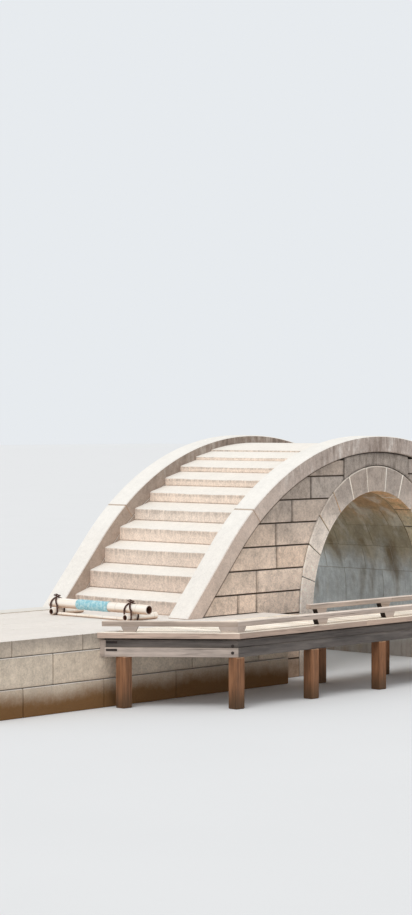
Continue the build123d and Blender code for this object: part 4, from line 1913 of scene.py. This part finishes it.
@dataclass(frozen=True)
class LowRails:
    """Low rails on blocks along both edges of the walk."""

    shape: WalkShape
    setback: float = 0.060
    width: float = 0.100
    height: float = 0.066
    block_height: float = 0.072
    foot_length: float = 0.150
    top_length: float = 0.220
    block_width: float = 0.090
    splay_arm: float = 0.220
    run_arm: float = 0.140
    inner_setback: float = 0.140
    seam: float = 0.004
    outer_seams: Flat = (-0.5, 1.5)
    inner_seam: float = -0.55
    arris: float = 0.006
    edge: float = 0.004
    seed: int = 200

    @property
    def slope(self) -> float:
        """How far a block's top reaches past its foot at each end."""
        return (self.top_length - self.foot_length) / 2

    def section(self, middle: Vector, across: Vector, lean: Vector, inset: float) -> list[Vector]:
        """Ring of points round a block at one place of its length.

        Args:
            middle: Middle of the section in plan.
            across: Half the block's width, in the section's plane.
            lean: How far its top stands over its foot.
            inset: How far the ring is drawn in.

        Returns:
            The four points.
        """
        base = middle + UP * self.shape.paving
        high = lean + UP * self.block_height
        side = across * (1 - inset / (self.block_width / 2))
        low = inset / self.block_height
        corners = ((-1, low), (1, low), (1, 1 - low), (-1, 1 - low))
        return [base + side * sign + high * share for sign, share in corners]

    def timber(self, draft: Draft, stops: Sequence[Sequence[Vector]]) -> None:
        """Block through its sections, with its end faces painted near black: painted shade,
        together with the darker end grain.

        Args:
            draft: Where it is added.
            stops: Middle, half width and lean of each section, from end to end.
        """
        (first, *start), (last, *end) = stops[0], stops[-1]
        head = first + (stops[1][0] - first).normalized() * self.edge
        tail = last + (stops[-2][0] - last).normalized() * self.edge
        middle = [(head, *start), *stops[1:-1], (tail, *end)]
        sections = [(first, *start, 2 * self.edge), (first, *start, self.edge)]
        sections += [(*stop, 0.0) for stop in middle]
        sections += [(last, *end, self.edge), (last, *end, 2 * self.edge)]
        rims = [1.0, 0.9, *[0.0] * len(middle), 0.9, 1.0]
        draft.loft([self.section(*section) for section in sections], rims, last - first)

    def block(self, draft: Draft, place: Flat, turn: float = 0.0) -> None:
        """Block under a rail, longer at its top than at its foot.

        Args:
            draft: Where it is added.
            place: Its middle in plan.
            turn: How far it is turned, in radians.
        """
        along = Vector((math.cos(turn), math.sin(turn), 0))
        across = Vector((-along.y, along.x, 0)) * (self.block_width / 2)
        stops = []
        for sign in (-1, 1):
            stop = Vector((*place, 0)) + along * (sign * self.foot_length / 2)
            stops.append((stop, across, along * (sign * self.slope)))
        self.timber(draft, stops)

    def corner_block(self, draft: Draft, corner: Flat, side: int) -> None:
        """Block that turns under a corner of the outer rail.

        Args:
            draft: Where it is added.
            corner: The left corner of the rail's middle line.
            side: -1 for the left corner and 1 for the right.
        """
        turn, half, slope = self.shape.turn, self.block_width / 2, self.slope
        splay = Vector((-math.cos(turn), math.sin(turn), 0))
        square = Vector((splay.y, -splay.x, 0)) * half
        centre = Vector((*corner, 0))
        mitre = Vector((math.sin(turn / 2), math.cos(turn / 2), 0)) * (half / math.cos(turn / 2))
        stops = [
            (centre + splay * (self.splay_arm - slope), square, splay * slope),
            (centre, mitre, Vector()),
            (centre + ALONG * (self.run_arm - slope), ACROSS * half, ALONG * slope),
        ]
        flip = Matrix.Diagonal((-side, 1, 1))
        self.timber(draft, [[flip @ part for part in stop] for stop in stops])

    def build(self) -> None:
        """Build the rails and their blocks."""
        shape, yard = self.shape, Yard(self.seed)
        outer, inner = Draft(yard), Draft(yard)
        low = shape.paving + self.block_height
        z = (low, low + self.height)
        ends = list(zip(shape.line(self.setback), shape.line(self.setback + self.width)))
        straight = [ends[1], ends[2]]
        straight[1:1] = [tuple((n * shape.bay, y) for _, y in ends[1]) for n in self.outer_seams]
        for pair in (ends[:2], ends[2:], *zip(straight, straight[1:])):
            outer.plank(pair, z, self.arris)
        outer.make("outer_rail_sawn", RAILS, "rail_timber", ["outer_rail"])
        far = shape.middle - shape.inner_reach - self.setback
        reach, half = shape.inner_end - self.inner_setback, self.seam / 2
        for stretch in ((-reach, self.inner_seam - half), (self.inner_seam + half, reach)):
            inner.plank([((x, far - self.width), (x, far)) for x in stretch], z, self.arris)
        inner.make("inner_rail_sawn", RAILS, "rail_timber", ["inner_rail"])
        self.blocks(Draft(yard))

    def blocks(self, draft: Draft) -> None:
        """Build the blocks.

        Args:
            draft: Where they are added.
        """
        shape = self.shape
        line = self.setback + self.width / 2
        corner = shape.line(line)[1]
        for place in shape.block_places():
            self.block(draft, (place, corner[1]))
        for place in shape.bay_places():
            if abs(place) < shape.inner_end:
                self.block(draft, (place, shape.middle - shape.inner_reach - line))
        first = shape.splay_place(line, shape.splay_block)
        for side in (1, -1):
            self.block(draft, (side * first[0], first[1]), -side * shape.turn)
            self.corner_block(draft, corner, side)
        draft.make("rail_blocks_sawn", BLOCKS, "rail_timber", ["rail_blocks"])


@dataclass(frozen=True)
class Cane:
    """Length of bamboo with hollow ends and raised rings."""

    radius: float
    bore: float
    hollow: float
    spacing: float

    def lay(self, draft: Draft, start: Vector, end: Vector) -> None:
        """Lay the cane between two places.

        Args:
            draft: Where it is added.
            start: Middle of its first end.
            end: Middle of its last end.
        """
        length, along = (end - start).length, (end - start).normalized()
        skin, lip = self.radius * 0.965, self.bore + 0.002
        ridge = (
            (-0.012, skin, 0.0), (-0.004, self.radius, 0.1), (0.0, skin - 0.001, 0.35),
            (0.004, self.radius - 0.001, 0.1), (0.014, skin, 0.0),
        )
        # Distance along the cane, radius and darkness of each ring of its skin.
        stops = [(self.hollow, self.bore * 0.9, 1.0), (0.004, self.bore, 1.0), (0.0, lip, 0.7)]
        stops += [(0.0, skin - 0.003, 0.1), (0.003, skin, 0.0)]
        place = self.spacing * 0.55
        while place < length - 0.05:
            stops += [(place + step, size, dark) for step, size, dark in ridge]
            place += self.spacing * (1 + draft.yard.slip(0.12))
        stops += [(length - 0.003, skin, 0.0), (length, skin - 0.003, 0.1), (length, lip, 0.7)]
        stops += [(length - 0.004, self.bore, 1.0), (length - self.hollow, self.bore * 0.9, 1.0)]
        spokes = circle(UP, along.cross(UP).normalized(), 28)
        rings = []
        for distance, size, _ in stops:
            middle = start + along * distance
            rings.append([middle + spoke * size for spoke in spokes])
        draft.loft(rings, [dark for *_, dark in stops], along)


@dataclass(frozen=True)
class BambooBarrier:
    """Bamboo pole on two feet, lashed with palm rope and wrapped with a band of cloth."""

    middle: float
    x: float
    paving: float = 0.950
    pole: Cane = Cane(0.0675, 0.050, 0.160, 0.36)
    foot: Cane = Cane(0.0475, 0.033, 0.066, 0.31)
    spacer: Cane = Cane(0.023, 0.0115, 0.04, 0.27)
    play: float = 0.0004
    pole_length: float = 1.880
    pole_offset: float = -0.390
    foot_length: float = 0.580
    foot_lead: float = 0.170
    near_foot_from_end: float = 0.330
    far_foot_from_end: float = 0.120
    spacer_from_pole: float = 0.045
    spacer_from_foot: float = 0.015
    wrap_length: float = 0.605
    wrap_from_middle: float = 0.093
    wrap_thickness: float = 0.0016
    wrinkle: float = 0.0009
    rope_radius: float = 0.0068
    seed: int = 230

    @property
    def pole_height(self) -> float:
        """Height of the pole's centre line."""
        return self.paving + 2 * self.foot.radius + self.pole.radius + 2 * self.play

    @property
    def pole_middle(self) -> float:
        """Place of the pole's middle across the bridge."""
        return self.middle + self.pole_offset

    def feet_places(self) -> Flat:
        """Places of the two feet across the bridge."""
        near, far = self.pole_middle - self.pole_length / 2, self.pole_middle + self.pole_length / 2
        return near + self.near_foot_from_end, far - self.far_foot_from_end

    def build(self) -> None:
        """Build the barrier."""
        yard = Yard(self.seed)
        pole, feet, spacer = Draft(yard), Draft(yard), Draft(yard)
        near, far = self.feet_places()
        ends = (self.pole_middle - self.pole_length / 2, self.pole_middle + self.pole_length / 2)
        self.pole.lay(pole, *(Vector((self.x, y, self.pole_height)) for y in ends))
        pole.make("bamboo_pole_cane", POLE, "bamboo", ["bamboo_pole"])
        centre, reach = self.x + self.foot_lead, self.foot_length / 2
        low = self.paving + self.foot.radius + self.play
        for y in (near, far):
            ends = (Vector((centre - reach, y, low)), Vector((centre + reach, y, low)))
            self.foot.lay(feet, *ends)
        feet.make("bamboo_feet_canes", POLE, "bamboo", ["bamboo_feet"])
        inset = self.foot.radius + self.spacer_from_foot
        x, low = self.x - self.spacer_from_pole, self.paving + self.spacer.radius + self.play
        self.spacer.lay(spacer, *(Vector((x, y, low)) for y in (near + inset, far - inset)))
        spacer.make("bamboo_spacer_cane", POLE, "bamboo", ["bamboo_spacer"])
        self.wrap(Draft(yard))
        self.lashings(Draft(yard))

    def round_pole(self, turn: float, y: float, radius: float) -> Vector:
        """Point at an angle from the top of the pole and a distance from its centre line."""
        high = self.pole_height + radius * math.cos(turn)
        return Vector((self.x + radius * math.sin(turn), y, high))

    def wrinkled(self, y: float, radius: float, share: float) -> list[Vector]:
        """Ring of the wrap at a place.

        Args:
            y: Place across the bridge.
            radius: Its radius.
            share: How far its wrinkles stand out.

        Returns:
            The ring's points.
        """
        points = []
        for number in range(40):
            turn = 2 * math.pi * number / 40
            fold = math.sin(3 * turn + 26 * y) + math.sin(61 * y + 2 * turn)
            points.append(self.round_pole(turn, y, radius + share * self.wrinkle * fold))
        return points

    def wrap(self, draft: Draft) -> None:
        """Build the band of cloth round the pole, with soft wrinkles.

        Args:
            draft: Where it is added.
        """
        centre = self.pole_middle + self.wrap_from_middle
        start, end = centre - self.wrap_length / 2, centre + self.wrap_length / 2
        inner = self.pole.radius + self.play
        stations = spaced(start, end, 60)
        rings = [self.wrinkled(y, inner + self.wrap_thickness, 1.0) for y in stations]
        rings += [self.wrinkled(y, inner, 0.0) for y in reversed(stations)]
        rims = [1.0 if y in (start, end) else 0.0 for y in stations]
        draft.loft(rings, rims + [1.0] * len(stations), ACROSS)
        # The skin closes on its own first ring, so both caps give way to one more strip.
        draft.faces = draft.faces[:-2]
        size = len(rings[0])
        last = (len(rings) - 1) * size
        for number in range(size):
            after = (number + 1) % size
            draft.faces.append((last + number, last + after, after, number))
        draft.make("cloth_wrap_band", CLOTH, "wrap", ["cloth_wrap"])

    def lashings(self, draft: Draft) -> None:
        """Build the rope turns that hold the pole to its feet.

        Args:
            draft: Where they are added.
        """
        for y in self.feet_places():
            for side in (-1, 1):
                for shift in (-1, 1):
                    self.strand(draft, self.crossing(y, side, shift))
            self.knot(draft, y)
        draft.make("rope_lashings_tied", ROPE, "palm_rope", ["rope_lashings"])

    def over_pole(self, turn: float, y: float, lift: float) -> Vector:
        """Point of a strand on the pole, at an angle from its top and lifted over the lowest."""
        return self.round_pole(turn, y, self.pole.radius + self.rope_radius + self.play + lift)

    def crossing(self, y: float, side: int, shift: int) -> list[Vector]:
        """Strand from one side of a foot over the pole to the foot's other side.

        Args:
            y: Place of the foot.
            side: Which way it crosses the pole, -1 or 1.
            shift: Which of the two strands that lie side by side, -1 or 1.

        Returns:
            The points of its centre line.
        """
        rope = self.rope_radius
        reach = self.foot.radius + 2.4 * rope
        offset = 1.1 * rope * shift
        middle = self.paving + self.foot.radius
        path = []
        for share in spaced(0, 1, 24):
            lift = (1.0 + 0.6 * side) * rope * math.sin(math.pi * share) ** 6
            turn = math.radians(-108 + 216 * share)
            path.append(self.over_pole(turn, y + side * reach * (2 * share - 1) + offset, lift))
        for end, way in ((0, -1), (-1, 1)):
            base = path[end]
            x = self.x + 0.9 * (base.x - self.x)
            down = [Vector((x, base.y, middle + 0.3 * self.foot.radius))]
            for turn in (0, 25, 48):
                spread = reach * math.cos(math.radians(turn))
                drop = (self.foot.radius + rope) * math.sin(math.radians(turn))
                down.append(Vector((x, y + side * way * spread + offset, middle - drop)))
            path = [*reversed(down), *path] if way < 0 else [*path, *down]
        return path

    def knot(self, draft: Draft, y: float) -> None:
        """Knot on top of the pole, with its two loose ends.

        Args:
            draft: Where it is added.
            y: Place of the foot.
        """
        rope = self.rope_radius
        for place in (-0.009, 0.009):
            turns = [math.radians(angle) for angle in spaced(-26, 26, 8)]
            self.strand(draft, [self.over_pole(turn, y + place, 4.2 * rope) for turn in turns])
        for side, length in ((-1, 0.070), (1, 0.088)):
            path = []
            for share in spaced(0, 1, 8):
                lift = (6.2 - 3.0 * share**2) * rope
                turn = math.radians(-6 + 14 * side * share)
                path.append(self.over_pole(turn, y + side * length * share, lift))
            self.strand(draft, path)

    def strand(self, draft: Draft, path: Sequence[Vector]) -> None:
        """Add one strand of rope along the points of its centre line."""
        radii = [self.rope_radius * (1 + 0.06 * math.sin(2.3 * n)) for n in range(len(path))]
        draft.rod(path, radii, [0.0] * len(path), 8)


def aimed(yaw: float, pitch: float) -> Vector:
    """Direction from its angle against the far side, and its angle above level."""
    flat = math.cos(pitch)
    return Vector((math.sin(yaw) * flat, math.cos(yaw) * flat, math.sin(pitch)))


@dataclass(frozen=True)
class Studio:
    """Pale floor, soft light and the camera at the photo's viewing angle."""

    eye: Colour
    yaw: float = math.radians(46.67)
    pitch: float = math.radians(0.870)
    lens: float = 86.88
    sensor: float = 36.0
    floor_reach: float = 260.0
    sky: Colour = (0.80, 0.83, 0.86)
    sky_light: float = 0.72
    sun_light: float = 1.15
    sun_colour: Colour = (1.0, 0.985, 0.96)
    sun_softness: float = math.radians(32)
    sun_elevation: float = math.radians(58)
    sun_azimuth: float = math.radians(-72)

    def build(self) -> None:
        """Set up the floor, the light and the camera."""
        for part in (self.floor, self.world, self.sun, self.camera):
            part()
        bpy.context.scene.view_settings.view_transform = "Standard"

    def floor(self) -> None:
        """Lay the plain pale floor."""
        mesh = bpy.data.meshes.new("studio_floor")
        reach = self.floor_reach
        corners = [(-reach, -reach), (reach, -reach), (reach, reach), (-reach, reach)]
        mesh.from_pydata([(x, y, -0.001) for x, y in corners], [], [(0, 1, 2, 3)])
        sketch = NodeSketch(bpy.data.materials.new("studio floor"))
        cloud = sketch.noise(sketch.place, 0.4, 2)
        colour = sketch.scaled(shade(228, 230, 232), sketch.sway((cloud, 0.03)))
        mesh.materials.append(sketch.surface(colour, 0.9, cloud, 0.001, 0.1))
        floor = bpy.data.objects.new("studio_floor", mesh)
        bpy.context.scene.collection.objects.link(floor)

    def world(self) -> None:
        """Light the scene evenly, with a plain pale background."""
        sketch = NodeSketch(bpy.data.worlds.new("studio light"))
        bpy.context.scene.world = sketch.owner
        light = sketch.node("Background", {0: (1.0, 1.0, 1.0, 1.0), 1: self.sky_light})
        seen = sketch.node("Background", {0: (*self.sky, 1.0), 1: 1.0})
        plain = sketch.node("LightPath", {}, "Is Camera Ray")
        for ray in ("Is Glossy Ray", "Is Transmission Ray"):
            plain = sketch.sums("MAXIMUM", plain, sketch.node("LightPath", {}, ray))
        sketch.close(sketch.node("MixShader", {0: plain, 1: light, 2: seen}))

    def sun(self) -> None:
        """Add the soft light from above."""
        lamp = bpy.data.lights.new("soft_sun", "SUN")
        lamp.energy, lamp.angle, lamp.color = self.sun_light, self.sun_softness, self.sun_colour
        sun = bpy.data.objects.new("soft_sun", lamp)
        source = aimed(math.pi - self.sun_azimuth, self.sun_elevation)
        sun.rotation_mode = "QUATERNION"
        sun.rotation_quaternion = source.to_track_quat("Z", "Y")
        bpy.context.scene.collection.objects.link(sun)

    def camera(self) -> None:
        """Place the camera where the photo was taken from."""
        data = bpy.data.cameras.new("photo_camera")
        data.lens, data.sensor_width = self.lens, self.sensor
        data.clip_start, data.clip_end = 0.1, 1000.0
        camera = bpy.data.objects.new("photo_camera", data)
        turn = aimed(self.yaw, -self.pitch).to_track_quat("-Z", "Y")
        camera.matrix_world = Matrix.Translation(self.eye) @ turn.to_matrix().to_4x4()
        bpy.context.scene.collection.objects.link(camera)
        bpy.context.scene.camera = camera


def main() -> None:
    """Build the bridge, its walk and the barrier, then the studio."""
    logging.basicConfig(level=logging.INFO, format="%(message)s")
    low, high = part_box("crown_landing")
    middle = (low.y + high.y) / 2
    hump = HumpShape(middle)
    walk = WalkShape(middle)
    pole_low, pole_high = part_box("bamboo_pole")
    assemblies = (
        ArchStones(hump),
        WallStones(hump),
        KerbStones(hump),
        StepStones(hump),
        CausewayStones(hump),
        TimberWalk(walk),
        LowRails(walk),
        BambooBarrier(middle, (pole_low.x + pole_high.x) / 2),
    )
    for assembly in assemblies:
        log.info("building %s", type(assembly).__name__)
        assembly.build()
    Studio(eye=(-25.176, middle - 21.710, 3.552)).build()


if __name__ == "__main__":
    main()
